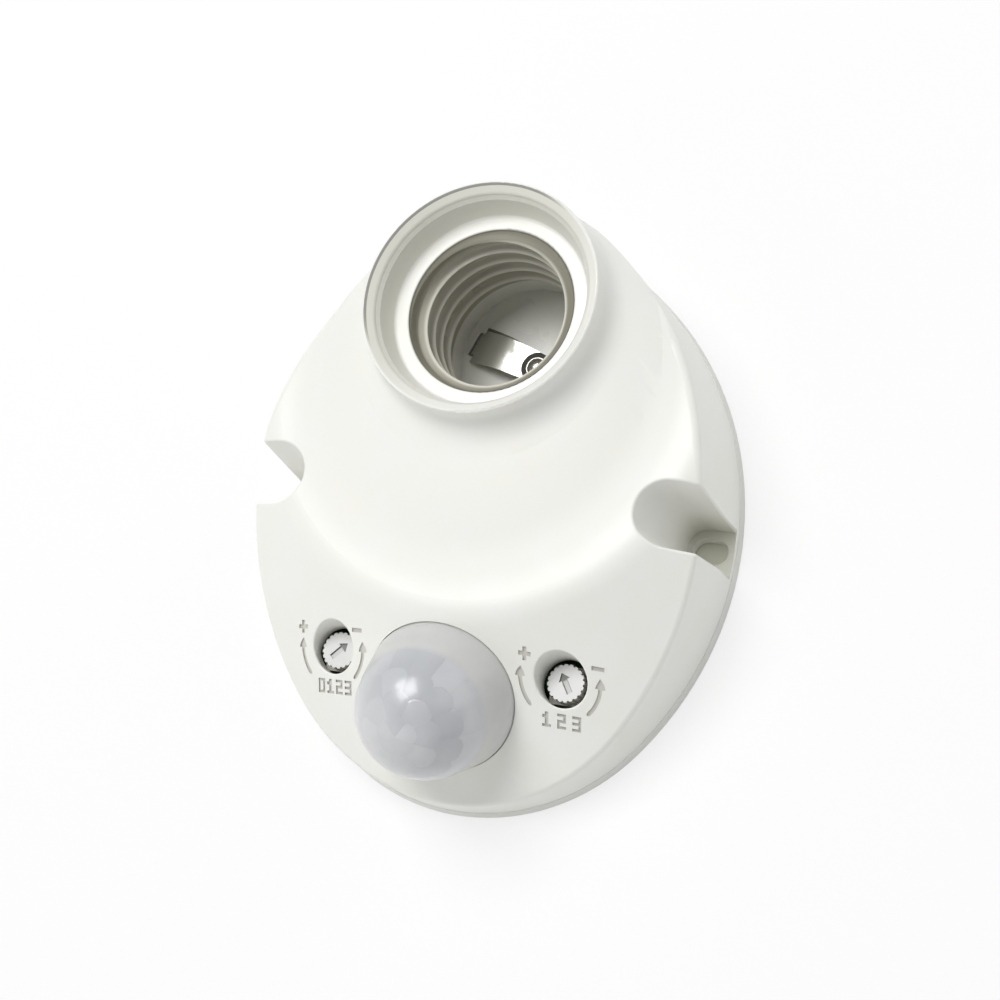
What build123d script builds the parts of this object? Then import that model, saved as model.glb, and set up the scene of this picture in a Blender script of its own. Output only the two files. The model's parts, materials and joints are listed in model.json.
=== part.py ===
from build123d import *
import os
from math import acos, asin, atan, atan2, cos, degrees, hypot, radians, sin, tan

# Wall lamp holder with a motion sensor, lying on its back. Millimetres. The origin is the centre of
# the back, +Z points out of the wall towards the lamp, +Y to the lamp end and +X to the right.

# Body: an egg of six tangent arcs, widest below the middle
body_half_length = 50.2
body_half_width = 39.95
top_arc_radius = 22.0
lower_side_radius = 55.0
widest_y = -2.6
lip_width = 0.5
lip_height = 1.2
wall_draft = 4.0
wall = 2.2
terrace_height = 24.4
shoulder_radius = 1.2

# Sloping sensor face: a cone on the axis of the hump's foot
slope_angle = 33.0
slope_margin = 6.8
slope_rounding = 7.0

# Hump: a leaning cone from its foot on the terrace to the collar
foot_margin = 3.8
foot_spread = 10.9
collar_margin = 3.5
collar_base_height = 29.6
collar_flare = 0.3
rim_height = 34.5
rim_wall = 1.75
rim_rounding = 0.4
blend_below = 1.3
blend_above = 2.6
blend_sections = 5

# Lamp recess, screw shell bore and socket floor
recess_rim_radius = 17.75
recess_taper = 1.55
recess_wall = 0.6
recess_corner = 0.5
ledge_height = 28.3
ledge_thickness = 2.2
mouth_radius = 13.9
mouth_rounding = 0.3
mouth_depth = 1.6
bore_radius = 13.3
bore_step_height = 17.4
bore_step = 0.3
socket_floor_height = 6.0
socket_floor_thickness = 2.0
barrel_wall = 2.2
web_thickness = 1.6
web_foot_height = 4.0

# Side notches over the slotted mounting flanges
flange_thickness = 2.5
notch_y = -2.1
notch_floor_radius = 3.5
notch_floor_depth = 4.95
notch_top_radius = 5.1
notch_top_depth = 6.75
notch_wall = 1.8
notch_reach = 20.0
notch_rounding = 0.4
screw_slot_inset = 4.55
screw_slot_length = 6.0
screw_slot_width = 4.2

# Lens opening, its seat and the ring that holds the lens
lens_end_distance = 16.45
lens_base_radius = 12.4
lens_hole_clearance = 0.15
lens_seat_depth = 3.0
lens_flange_radius = 14.1
lens_flange_thickness = 1.0
lens_skirt_height = 5.0
lens_dome_radius = 11.0
lens_wall = 0.8
lens_seat_ring_radius = 15.8
retainer_depth = 5.2
retainer_inner_radius = 12.1
retainer_clearance = 0.1

# Trimmer wells and trimmers
trimmer_x = 19.5
trimmer_above_lens = 5.35
well_radius = 4.2
well_rounding = 0.25
well_bottom_radius = 3.9
well_bottom_height = 13.3
well_wall = 1.5
trimmer_size = 6.2
trimmer_body_height = 2.5
trimmer_gap = 0.05
rotor_radius = 3.0
rotor_height = 2.7
rotor_spigot_radius = 1.4
rotor_spigot_length = 1.8
rotor_clearance = 0.05
rotor_flutes = 20
rotor_flute_radius = 0.22

# Circuit board and what stands on it
board_bottom = 7.8
board_thickness = 1.6
board_side_margin = 5.5
board_block_gap = 6.0
board_shoulder_offset = 0.35
board_tongue_half_width = 8.0
board_tongue_length = 4.6
board_chamfer = 3.0
board_boss_inset = 3.5
board_boss_drop = 7.0
board_boss_radius = 2.6
board_clearance = 0.6
board_screw_radius = 1.1
board_hole_radius = 1.4
board_screw_length = 7.0
board_screw_head_radius = 2.2
board_screw_head_height = 1.3
screw_hole_clearance = 0.05
pilot_depth = 9.0

# Shape of every screw head, as shares of its own size
head_edge_share = 0.4
cross_length_share = 1.3
cross_width_share = 0.3
cross_depth_share = 0.5

# Back plate with its screws
plate_thickness = 1.8
plate_rebate_wall = 1.2
plate_clearance = 0.15
plate_boss_radius = 3.2
plate_screw_radius = 1.3
plate_screw_length = 8.0
plate_screw_head_radius = 2.5
plate_screw_head_height = 1.0
plate_head_inset = 0.1
upper_boss_inset = 16.45
lower_boss_inset = 9.95
lower_boss_y = -18.0
window_side_margin = 2.5
window_bottom_margin = 7.0
window_top_margin = 0.4
window_corner = 1.5

# Terminal block: two brass tubes in a moulding that clips over the window
block_half_width = 9.0
block_length = 9.0
block_barrel_gap = 2.4
block_bottom = 0.8
block_top = 10.2
block_bore_height = 6.0
block_pole_x = 4.5
block_foot_half_width = 13.2
block_foot_thickness = 2.5
block_foot_length = 6.0
clip_thickness = 1.5
clip_height = 4.6
clip_hook = 0.6
clip_clearance = 0.1
tube_radius = 2.2
tube_bore_radius = 1.4
tube_inset = 0.5
tube_clearance = 0.1
terminal_screw_spacing = 4.2
terminal_screw_radius = 1.1
terminal_screw_head_radius = 1.6
terminal_screw_head_height = 1.4
terminal_screw_inset = 0.2

# Socket contacts
contact_thickness = 0.5
contact_root_x = -10.3
contact_root_rise_y = 2.0
contact_turn = -19.4
contact_root_width = 6.8
contact_tip_width = 5.2
contact_length = 13.4
contact_knee_reach = 6.0
contact_knee_height = 3.4
contact_knee_bend = 6.0
contact_tip_rise = 1.0
contact_tail_width = 4.0
contact_tail_length = 3.2
contact_root_rise = 0.45
contact_bend = 0.8
contact_slot_back = 1.0
contact_slot_front = 0.6
contact_side_clearance = 0.3
contact_shoulder = 0.4
contact_tail_reach = 1.3
rivet_shank_radius = 0.9
rivet_clearance = 0.02
rivet_head_radius = 1.7
rivet_head_height = 0.6
rivet_tail_height = 0.4
side_contact_angle = -52.0
side_contact_width = 4.4
side_contact_thickness = 0.4
side_contact_root_radius = 14.1
side_contact_knee_height = 7.2
side_contact_crest_radius = 12.3
side_contact_crest_height = 12.0
side_contact_tip_radius = 13.5
side_contact_tip_height = 15.2
side_window_width = 5.6
side_window_top = 17.0
side_slot_inset = 0.35
side_slot_depth = 2.15

# Leads inside the housing
lead_radius = 0.75
lead_tight_bend = 1.5
lead_bend = 4.0
lead_wide_bend = 8.0
lead_floor_height = 2.9
lead_gap = 0.4
lead_reach = 3.0
supply_lead_x = 17.0
supply_lead_run_gap = 2.0
supply_lead_entry = 1.5
contact_lead_x = 20.0
contact_lead_turn_drop = 3.0
lead_board_inset = 3.3

# Components on the board
sensor_can_radius = 4.1
sensor_flange_radius = 4.6
sensor_flange_height = 0.6
sensor_stand_off = 1.0
sensor_can_height = 3.8
sensor_edge = 0.5
sensor_window_size = 3.4
sensor_window_depth = 0.4
sensor_leg_radius = 0.25
sensor_leg_circle = 2.5
sensor_above_lens = 0.55
relay_size = (18.0, 9.4, 10.0)
relay_x = -9.5
smoothing_radius = 4.0
smoothing_height = 11.0
smoothing_x = 6.5
power_row_inset = 7.5
dropper_size = (5.5, 11.0, 10.0)
dropper_x = 15.1
dropper_inset = 8.5
chip_size = (10.0, 4.0, 1.7)
chip_x = 5.5
chip_inset = 16.5
component_edge = 0.5
diode_count = 4
diode_radius = 1.35
diode_length = 4.6
diode_pitch = 3.6
diode_span = 7.0
diode_wire_radius = 0.35
diode_wire_bend = 0.8
diode_stand_off = 0.3
diode_row_x = -9.0
diode_row_inset = 17.2
light_sensor_radius = 2.5
light_sensor_height = 2.2
light_sensor_x = 7.0
light_sensor_above_lens = 4.15

# How far a cutting form reaches past the surface that it opens
overshoot = 1.0

# Derived sizes
top_centre_y = body_half_length - top_arc_radius
top_turn = degrees(2 * atan2(body_half_width - top_arc_radius, top_centre_y - widest_y))
upper_side_radius = top_arc_radius + (top_centre_y - widest_y) / sin(radians(top_turn))
upper_side_x = body_half_width - upper_side_radius
lower_side_x = body_half_width - lower_side_radius
bottom_span = lower_side_radius - widest_y - body_half_length
bottom_turn = 90 - 2 * degrees(atan(bottom_span / -lower_side_x))
bottom_arc_offset = -lower_side_x / cos(radians(bottom_turn))
bottom_arc_radius = lower_side_radius - bottom_arc_offset
bottom_centre_y = widest_y - bottom_arc_offset * sin(radians(bottom_turn))

rim_radius = recess_rim_radius + rim_wall
recess_floor_radius = recess_rim_radius - recess_taper
collar_base_radius = rim_radius + collar_flare
foot_radius = collar_base_radius + foot_spread
foot_y = body_half_length - foot_radius - foot_margin
socket_y = body_half_length - collar_base_radius - collar_margin
shell_radius = bore_radius - bore_step
barrel_radius = bore_radius + barrel_wall
slope_start_radius = foot_radius + slope_margin
slope_reach = foot_y + body_half_length + overshoot
slope_fall = tan(radians(slope_angle))
ceiling_height = terrace_height - wall

notch_floor_centre_x = body_half_width - notch_floor_depth
notch_top_centre_x = body_half_width - notch_top_depth
screw_slot_x = body_half_width - screw_slot_inset
upper_boss_x = body_half_width - upper_boss_inset
lower_boss_x = body_half_width - lower_boss_inset

lens_y = lens_end_distance - body_half_length
trimmer_y = lens_y + trimmer_above_lens
sensor_y = lens_y + sensor_above_lens
block_top_y = socket_y - barrel_radius - block_barrel_gap
block_bottom_y = block_top_y - block_length
block_centre_y = (block_bottom_y + block_top_y) / 2
window_half_width = block_half_width + window_side_margin
window_bottom_y = block_bottom_y - window_bottom_margin
window_top_y = block_top_y + window_top_margin
board_top = board_bottom + board_thickness
board_half_width = trimmer_x + board_side_margin
board_top_y = block_bottom_y - board_block_gap
board_shoulder_y = lens_y + board_shoulder_offset
board_tongue_y = board_shoulder_y - board_tongue_length
board_boss_x = board_half_width - board_boss_inset
board_boss_y = board_top_y - board_boss_drop
side_slot_inner_radius = shell_radius - side_slot_inset
side_slot_outer_radius = side_slot_inner_radius + side_slot_depth
lens_height = terrace_height - slope_fall * (foot_y - lens_y - slope_start_radius)
lens_axis = Vector(0, -sin(radians(slope_angle)), cos(radians(slope_angle)))
lens_plane = Plane(origin=(0, lens_y, lens_height), x_dir=(1, 0, 0), z_dir=lens_axis)
foot_axis = Axis((0, foot_y, 0), (0, 0, 1))
profile_plane = Plane(origin=(0, foot_y, 0), x_dir=(1, 0, 0), z_dir=(0, -1, 0))
lens_profile_plane = Plane(origin=lens_plane.origin, x_dir=(1, 0, 0), z_dir=-lens_plane.y_dir)
lens_line = Axis(lens_plane.origin, lens_axis)
socket_plane = Plane(origin=(0, socket_y, 0), x_dir=(1, 0, 0), z_dir=(0, -1, 0))
socket_axis = Axis((0, socket_y, 0), (0, 0, 1))
contact_direction = Vector(cos(radians(contact_turn)), sin(radians(contact_turn)), 0)
contact_root_y = socket_y + contact_root_rise_y
contact_plane = Plane(
    origin=(contact_root_x, contact_root_y, socket_floor_height),
    x_dir=contact_direction,
    z_dir=contact_direction.cross(Vector(0, 0, 1)),
)
contact_floor = Plane(
    origin=(contact_root_x, contact_root_y, socket_floor_height), x_dir=contact_direction, z_dir=(0, 0, 1)
)
side_direction = Vector(cos(radians(side_contact_angle)), sin(radians(side_contact_angle)), 0)
side_plane = Plane(
    origin=(0, socket_y, 0), x_dir=side_direction, z_dir=side_direction.cross(Vector(0, 0, 1))
)
side_floor = Plane(origin=(0, socket_y, 0), x_dir=side_direction, z_dir=(0, 0, 1))
FOLDER = "parts"
os.makedirs(FOLDER, exist_ok=True)


def egg(inset):
    """The body's egg-shaped section, this far inside the edge of the base."""
    top_radius, upper_radius, lower_radius, bottom_radius = (
        radius - inset for radius in (top_arc_radius, upper_side_radius, lower_side_radius, bottom_arc_radius)
    )
    with BuildSketch() as section:
        with BuildLine():
            CenterArc((0, top_centre_y), top_radius, top_turn, 180 - 2 * top_turn)
            CenterArc((-upper_side_x, widest_y), upper_radius, 180 - top_turn, top_turn)
            CenterArc((-lower_side_x, widest_y), lower_radius, 180, bottom_turn)
            CenterArc((0, bottom_centre_y), bottom_radius, 180 + bottom_turn, 180 - 2 * bottom_turn)
            CenterArc((lower_side_x, widest_y), lower_radius, -bottom_turn, bottom_turn)
            CenterArc((upper_side_x, widest_y), upper_radius, 0, top_turn)
        make_face()
    return section.sketch


def slope_solid(drop):
    """Everything under the terrace and the sloping face, lowered by this much."""
    top = terrace_height - drop
    outer_fall = slope_fall * (slope_reach - slope_start_radius)
    with BuildPart() as under:
        with BuildSketch(profile_plane) as profile:
            with BuildLine():
                Polyline(
                    (0, top),
                    (slope_start_radius, top),
                    (slope_reach, top - outer_fall),
                    (slope_reach, -outer_fall - terrace_height),
                    (0, -outer_fall - terrace_height),
                    close=True,
                )
            make_face()
            corner = profile.vertices().sort_by_distance((slope_start_radius, top))[0]
            fillet(corner, radius=slope_rounding)
        revolve(axis=foot_axis)
    return under.part


def hump_circle(height):
    """Centre and radius of the leaning cone at this height."""
    share = (height - terrace_height) / (collar_base_height - terrace_height)
    centre = foot_y + share * (socket_y - foot_y)
    radius = foot_radius + share * (collar_base_radius - foot_radius)
    return centre, radius


def blend_circles():
    """Circles that round the corner between the leaning cone and the upright collar."""
    low = collar_base_height - blend_below
    high = collar_base_height + blend_above
    low_centre, low_radius = hump_circle(low)
    collar_share = blend_above / (rim_height - collar_base_height)
    high_radius = collar_base_radius + collar_share * (rim_radius - collar_base_radius)
    corners = ((low, low_centre, low_radius), (collar_base_height, socket_y, collar_base_radius))
    corners += ((high, socket_y, high_radius),)
    circles = []
    for step in range(blend_sections):
        t = step / (blend_sections - 1)
        weights = ((1 - t) ** 2, 2 * t * (1 - t), t**2)
        circles.append(tuple(sum(w * c[i] for w, c in zip(weights, corners)) for i in range(3)))
    return circles


def notch(side, grow, bottom):
    """A tapering pocket open to the side, its walls moved out by this much."""
    with BuildPart() as pocket:
        slope_per_mm = (notch_top_radius - notch_floor_radius) / (terrace_height - flange_thickness)
        shift_per_mm = (notch_top_centre_x - notch_floor_centre_x) / (terrace_height - flange_thickness)
        for height in (bottom, terrace_height + overshoot):
            above = height - flange_thickness
            radius = notch_floor_radius + slope_per_mm * above + grow
            centre = notch_floor_centre_x + shift_per_mm * above + notch_reach / 2
            with BuildSketch(Plane.XY.offset(height)):
                with Locations((side * centre, notch_y)):
                    SlotCenterToCenter(notch_reach, 2 * radius)
        loft()
    return pocket.part


def trimmer_well(side, grow, bottom):
    """The tapering well over a trimmer, its wall moved out by this much."""
    taper_per_mm = (well_radius - well_bottom_radius) / (terrace_height - well_bottom_height)
    top = terrace_height + overshoot
    with BuildPart() as well:
        for height in (bottom, top):
            radius = well_bottom_radius + taper_per_mm * (height - well_bottom_height) + grow
            with BuildSketch(Plane.XY.offset(height)):
                with Locations((side * trimmer_x, trimmer_y)):
                    Circle(radius)
        loft()
    return well.part


def screw_group(points, bottom, head_radius, head_height, shank_radius, top):
    """Screws with rounded heads and crossed slots, heads down and shanks pointing up."""
    with BuildPart() as group:
        with BuildSketch(Plane.XY.offset(bottom)):
            with Locations(*points):
                Circle(head_radius)
        extrude(amount=head_height)
        chamfer(group.edges().group_by(Axis.Z)[0], length=head_edge_share * head_height)
        with BuildSketch(Plane.XY.offset(bottom + head_height)):
            with Locations(*points):
                Circle(shank_radius)
        extrude(amount=top - bottom - head_height)
        chamfer(group.edges().group_by(Axis.Z)[-1], length=head_edge_share * shank_radius)
        with BuildSketch(Plane.XY.offset(bottom)):
            with Locations(*points):
                Rectangle(cross_length_share * head_radius, cross_width_share * head_radius)
                Rectangle(cross_width_share * head_radius, cross_length_share * head_radius)
        extrude(amount=cross_depth_share * head_height, mode=Mode.SUBTRACT)
    return group.part


def wire(points, radius, bend):
    """A round wire along straight runs joined by tangent bends."""
    with BuildPart() as piece:
        with BuildLine() as route:
            FilletPolyline(*points, radius=bend)
        with BuildSketch(Plane(origin=route.line @ 0, z_dir=route.line % 0)):
            Circle(radius)
        sweep(path=route.line)
    return piece.part


def dome_form(base_radius, dome_radius, bottom):
    """A closed dome on the lens axis: skirt, tangent slope and crown, from this level up."""
    to_base = atan2(-lens_skirt_height, base_radius)
    angle = to_base + acos(dome_radius / hypot(base_radius, lens_skirt_height))
    middle = (angle + radians(90)) / 2
    tangent = (dome_radius * cos(angle), lens_skirt_height + dome_radius * sin(angle))
    halfway = (dome_radius * cos(middle), lens_skirt_height + dome_radius * sin(middle))
    crown = (0, lens_skirt_height + dome_radius)
    with BuildPart() as form:
        with BuildSketch(lens_profile_plane):
            with BuildLine():
                Polyline((0, bottom), (base_radius, bottom), (base_radius, 0), tangent)
                ThreePointArc(tangent, halfway, crown)
                Line(crown, (0, bottom))
            make_face()
        revolve(axis=lens_line)
    return form.part


def block_component(place, size, edge):
    """A cuboid part standing on the board, its upper edges bevelled."""
    with BuildPart() as piece:
        with BuildSketch(Plane.XY.offset(board_top)):
            with Locations(place):
                Rectangle(size[0], size[1])
        extrude(amount=size[2])
        chamfer(piece.edges().filter_by(Axis.Z), length=edge)
        chamfer(piece.faces().sort_by(Axis.Z)[-1].edges(), length=edge / 2)
    return piece.part


def trimmer_rotor(side):
    """A fluted disc with a spigot that turns in the trimmer's body."""
    place = Location((side * trimmer_x, trimmer_y))
    with BuildPart() as rotor:
        with BuildSketch(Plane.XY.offset(rotor_bottom)):
            with Locations(place):
                Circle(rotor_radius)
                with PolarLocations(rotor_radius, rotor_flutes):
                    Circle(rotor_flute_radius, mode=Mode.SUBTRACT)
        extrude(amount=rotor_height)
        with BuildSketch(Plane.XY.offset(rotor_bottom)):
            with Locations(place):
                Circle(rotor_spigot_radius)
        extrude(amount=-rotor_spigot_length)
    return rotor.part


def trimmer_body(side):
    """The square body of a trimmer with the bore that its rotor turns in."""
    with BuildPart() as body:
        with BuildSketch(Plane.XY.offset(board_top)):
            with Locations((side * trimmer_x, trimmer_y)):
                Rectangle(trimmer_size, trimmer_size)
        extrude(amount=trimmer_body_height)
        chamfer(body.edges().filter_by(Axis.Z), length=component_edge)
        with BuildSketch(Plane.XY.offset(board_top + trimmer_body_height)):
            with Locations((side * trimmer_x, trimmer_y)):
                Circle(rotor_spigot_radius + rotor_clearance)
        extrude(amount=-rotor_spigot_length - 2 * rotor_clearance, mode=Mode.SUBTRACT)
    return body.part


def finish(piece, name):
    """Name a finished piece and write its file."""
    piece.label = name
    export_step(piece, f"{FOLDER}/{name}.step")


# Housing: one moulding with hump, collar, screw shell bore and sensor face
right_notch = notch(1, 0, flange_thickness)
left_notch = notch(-1, 0, flange_thickness)
right_notch_wall = notch(1, notch_wall, -overshoot)
left_notch_wall = notch(-1, notch_wall, -overshoot)
upper_bosses = [(side * upper_boss_x, socket_y) for side in (-1, 1)]
lower_bosses = [(side * lower_boss_x, lower_boss_y) for side in (-1, 1)]
board_bosses = [(side * board_boss_x, board_boss_y) for side in (-1, 1)]
base_section = egg(0)
wall_section = egg(lip_width)
cavity_section = egg(lip_width + wall)
rebate_section = egg(lip_width + plate_rebate_wall)
plate_section = egg(lip_width + plate_rebate_wall + plate_clearance)
outer_slope = slope_solid(0)
inner_slope = slope_solid(wall / cos(radians(slope_angle)))

# the hollow inside the moulding, with everything that stands in it left out
with BuildPart() as hollow:
    with BuildSketch(Plane.XY.offset(plate_thickness)):
        add(cavity_section)
    extrude(amount=ceiling_height - plate_thickness, taper=wall_draft)
    add(inner_slope, mode=Mode.INTERSECT)
    with BuildSketch(Plane.XY.offset(ceiling_height - overshoot)):
        with Locations((0, foot_y)):
            Circle(foot_radius - wall)
    with BuildSketch(Plane.XY.offset(ceiling_height)):
        with Locations((0, foot_y)):
            Circle(foot_radius - wall)
    loft()
    with BuildSketch(Plane.XY.offset(ceiling_height)):
        with Locations((0, foot_y)):
            Circle(foot_radius - wall)
    with BuildSketch(Plane.XY.offset(ledge_height - ledge_thickness)):
        with Locations((0, socket_y)):
            Circle(recess_floor_radius + recess_wall)
    loft()
    with BuildSketch(Plane.XY.offset(-overshoot)):
        add(rebate_section)
    extrude(amount=plate_thickness + overshoot)
    add(right_notch_wall, mode=Mode.SUBTRACT)
    add(left_notch_wall, mode=Mode.SUBTRACT)
    # screw shell barrel with its three stiffening webs
    with BuildSketch(Plane.XY.offset(socket_floor_height - socket_floor_thickness)):
        with Locations((0, socket_y)):
            Circle(barrel_radius)
    extrude(amount=rim_height, mode=Mode.SUBTRACT)
    with BuildSketch(Plane.XY.offset(plate_thickness + web_foot_height)):
        with Locations((0, socket_y)):
            Rectangle(2 * body_half_width, web_thickness)
        with Locations((0, body_half_length - barrel_radius / 2)):
            Rectangle(web_thickness, barrel_radius)
    extrude(amount=rim_height, mode=Mode.SUBTRACT)
    # bosses for the plate screws and the board screws
    with BuildSketch(Plane.XY.offset(plate_thickness)):
        with Locations(*upper_bosses, *lower_bosses):
            Circle(plate_boss_radius)
    extrude(amount=rim_height, mode=Mode.SUBTRACT)
    with BuildSketch(Plane.XY.offset(board_top)):
        with Locations(*board_bosses):
            Circle(board_boss_radius)
    extrude(amount=rim_height, mode=Mode.SUBTRACT)
    # tubes round the trimmer wells and the seat of the lens
    for side in (-1, 1):
        add(trimmer_well(side, well_wall, well_bottom_height), mode=Mode.SUBTRACT)
    with BuildSketch(lens_plane.offset(-retainer_depth)):
        Circle(lens_seat_ring_radius)
    extrude(amount=rim_height, mode=Mode.SUBTRACT)

blend = blend_circles()
with BuildPart() as leaning_cone:
    for height in (terrace_height - wall, blend[0][0]):
        centre, radius = hump_circle(height)
        with BuildSketch(Plane.XY.offset(height)):
            with Locations((0, centre)):
                Circle(radius)
    loft(ruled=True)
    with BuildSketch(Plane.XY):
        add(wall_section)
    extrude(amount=rim_height, taper=wall_draft, mode=Mode.INTERSECT)

with BuildPart() as housing:
    with BuildSketch(Plane.XY):
        add(wall_section)
    extrude(amount=terrace_height + overshoot, taper=wall_draft)
    add(outer_slope, mode=Mode.INTERSECT)
    steep = sin(radians(slope_angle))
    top_faces = housing.faces().filter_by(lambda f: f.normal_at().Z > steep)
    side_faces = housing.faces().filter_by(lambda f: abs(f.normal_at().Z) < steep)
    side_edges = side_faces.edges()
    shoulder = [edge for edge in top_faces.edges() if edge in side_edges]
    fillet(shoulder, radius=shoulder_radius)
    add(leaning_cone.part)
    # flared foot of the wall
    with BuildSketch(Plane.XY):
        add(base_section)
    extrude(amount=lip_height, taper=degrees(atan2(lip_width, lip_height)))
    # collar
    for height, centre, radius in blend:
        with BuildSketch(Plane.XY.offset(height)):
            with Locations((0, centre)):
                Circle(radius)
    loft()
    with BuildSketch(Plane.XY.offset(blend[-1][0])):
        with Locations((0, socket_y)):
            Circle(blend[-1][2])
    with BuildSketch(Plane.XY.offset(rim_height)):
        with Locations((0, socket_y)):
            Circle(rim_radius)
    loft(ruled=True)
    add(hollow.part, mode=Mode.SUBTRACT)
    # lamp recess, ledge, mouth, bore and socket floor in one turned cut
    with BuildSketch(socket_plane) as socket_profile:
        with BuildLine():
            Polyline(
                (0, rim_height + overshoot),
                (recess_rim_radius, rim_height + overshoot),
                (recess_rim_radius, rim_height),
                (recess_floor_radius, ledge_height),
                (mouth_radius, ledge_height),
                (mouth_radius, ledge_height - mouth_depth),
                (bore_radius, ledge_height - mouth_depth - (mouth_radius - bore_radius)),
                (bore_radius, bore_step_height),
                (shell_radius, bore_step_height),
                (shell_radius, socket_floor_height),
                (0, socket_floor_height),
                close=True,
            )
        make_face()
        corners = socket_profile.vertices()
        fillet(corners.sort_by_distance((recess_floor_radius, ledge_height))[0], radius=recess_corner)
        corners = socket_profile.vertices()
        fillet(corners.sort_by_distance((mouth_radius, ledge_height))[0], radius=mouth_rounding)
    revolve(axis=socket_axis, mode=Mode.SUBTRACT)
    rim_edges = housing.edges().group_by(Axis.Z)[-1]
    fillet(rim_edges, radius=rim_rounding)
    # side notches with rounded edges, over their slotted flanges
    for pocket in (right_notch, left_notch):
        add(pocket, mode=Mode.SUBTRACT)
        notch_edges = housing.edges(Select.LAST).filter_by(lambda e: e.center().Z > terrace_height / 2)
        fillet(notch_edges, radius=notch_rounding)
    with BuildSketch(Plane.XY):
        with Locations((-screw_slot_x, notch_y), (screw_slot_x, notch_y)):
            SlotOverall(screw_slot_length, screw_slot_width)
    extrude(amount=flange_thickness, mode=Mode.SUBTRACT)
    # trimmer wells
    for side in (-1, 1):
        add(trimmer_well(side, 0, well_bottom_height - overshoot), mode=Mode.SUBTRACT)
        fillet(housing.edges(Select.LAST).sort_by(Axis.Z)[-1], radius=well_rounding)
    # lens opening with its counterbored seat inside
    with BuildSketch(lens_plane.offset(-lens_seat_depth - overshoot)):
        Circle(lens_base_radius + lens_hole_clearance)
    extrude(amount=rim_height, mode=Mode.SUBTRACT)
    with BuildSketch(lens_plane.offset(-lens_seat_depth)):
        Circle(lens_flange_radius + retainer_clearance)
    extrude(amount=lens_seat_depth - retainer_depth - overshoot, mode=Mode.SUBTRACT)
    # pilot holes for the plate screws and board screws
    with BuildSketch(Plane.XY.offset(plate_thickness)):
        with Locations(*upper_bosses, *lower_bosses):
            Circle(plate_screw_radius + screw_hole_clearance)
    extrude(amount=pilot_depth, mode=Mode.SUBTRACT)
    with BuildSketch(Plane.XY.offset(board_top)):
        with Locations(*board_bosses):
            Circle(board_screw_radius + screw_hole_clearance)
    extrude(amount=board_screw_length, mode=Mode.SUBTRACT)
    # floor slot of the centre contact, window and slot of the side contact
    slot_length = contact_slot_back + contact_slot_front
    with BuildSketch(contact_floor):
        with Locations(((contact_slot_front - contact_slot_back) / 2, 0)):
            Rectangle(slot_length, contact_tail_width + 2 * contact_side_clearance)
    extrude(amount=-socket_floor_thickness - overshoot, mode=Mode.SUBTRACT)
    side_window_reach = barrel_radius + overshoot
    with BuildSketch(side_floor.offset(socket_floor_height)):
        with Locations(((side_slot_inner_radius + side_window_reach) / 2, 0)):
            Rectangle(side_window_reach - side_slot_inner_radius, side_window_width)
    extrude(amount=side_window_top - socket_floor_height, mode=Mode.SUBTRACT)
    with BuildSketch(side_floor.offset(socket_floor_height)):
        with Locations(((side_slot_inner_radius + side_slot_outer_radius) / 2, 0)):
            Rectangle(
                side_slot_outer_radius - side_slot_inner_radius,
                side_contact_width + 2 * contact_side_clearance,
            )
    extrude(amount=-socket_floor_thickness - overshoot, mode=Mode.SUBTRACT)
finish(housing.part, "housing")

# Back plate, flush in its rebate, with the cable window and two clips for the terminal block
plate_holes = [*upper_bosses, *lower_bosses]
plate_notch_walls = [notch(side, notch_wall + plate_clearance, -overshoot) for side in (-1, 1)]
window_width = 2 * window_half_width
window_length = window_top_y - window_bottom_y
clip_inner_x = block_foot_half_width + clip_clearance
clip_outer_x = clip_inner_x + clip_thickness
hook_bottom = plate_thickness + block_foot_thickness + clip_clearance
clip_top = plate_thickness + clip_height
clip_plane = Plane(origin=(0, block_centre_y, 0), x_dir=(1, 0, 0), z_dir=(0, -1, 0))
with BuildPart() as back_plate:
    with BuildSketch():
        add(plate_section)
        with Locations((0, (window_top_y + window_bottom_y) / 2)):
            RectangleRounded(window_width, window_length, window_corner, mode=Mode.SUBTRACT)
    extrude(amount=plate_thickness)
    for wall_form in plate_notch_walls:
        add(wall_form, mode=Mode.SUBTRACT)
    with BuildSketch(clip_plane):
        with BuildLine():
            Polyline(
                (clip_inner_x, plate_thickness),
                (clip_inner_x, hook_bottom),
                (clip_inner_x - clip_hook, hook_bottom),
                (clip_inner_x - clip_hook, hook_bottom + clip_hook),
                (clip_inner_x + clip_hook, clip_top),
                (clip_outer_x, clip_top),
                (clip_outer_x, plate_thickness),
                close=True,
            )
        make_face()
        mirror(about=Plane.YZ)
    extrude(amount=block_foot_length / 2, both=True)
    with BuildSketch():
        with Locations(*plate_holes):
            Circle(plate_screw_head_radius + plate_clearance)
    extrude(amount=plate_head_inset + plate_screw_head_height, mode=Mode.SUBTRACT)
    with BuildSketch():
        with Locations(*plate_holes):
            Circle(plate_screw_radius + plate_clearance)
    extrude(amount=plate_thickness, mode=Mode.SUBTRACT)
finish(back_plate.part, "back_plate")

plate_screws = screw_group(
    plate_holes,
    plate_head_inset,
    plate_screw_head_radius,
    plate_screw_head_height,
    plate_screw_radius,
    plate_head_inset + plate_screw_head_height + plate_screw_length,
)
finish(plate_screws, "back_plate_screws")

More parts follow.
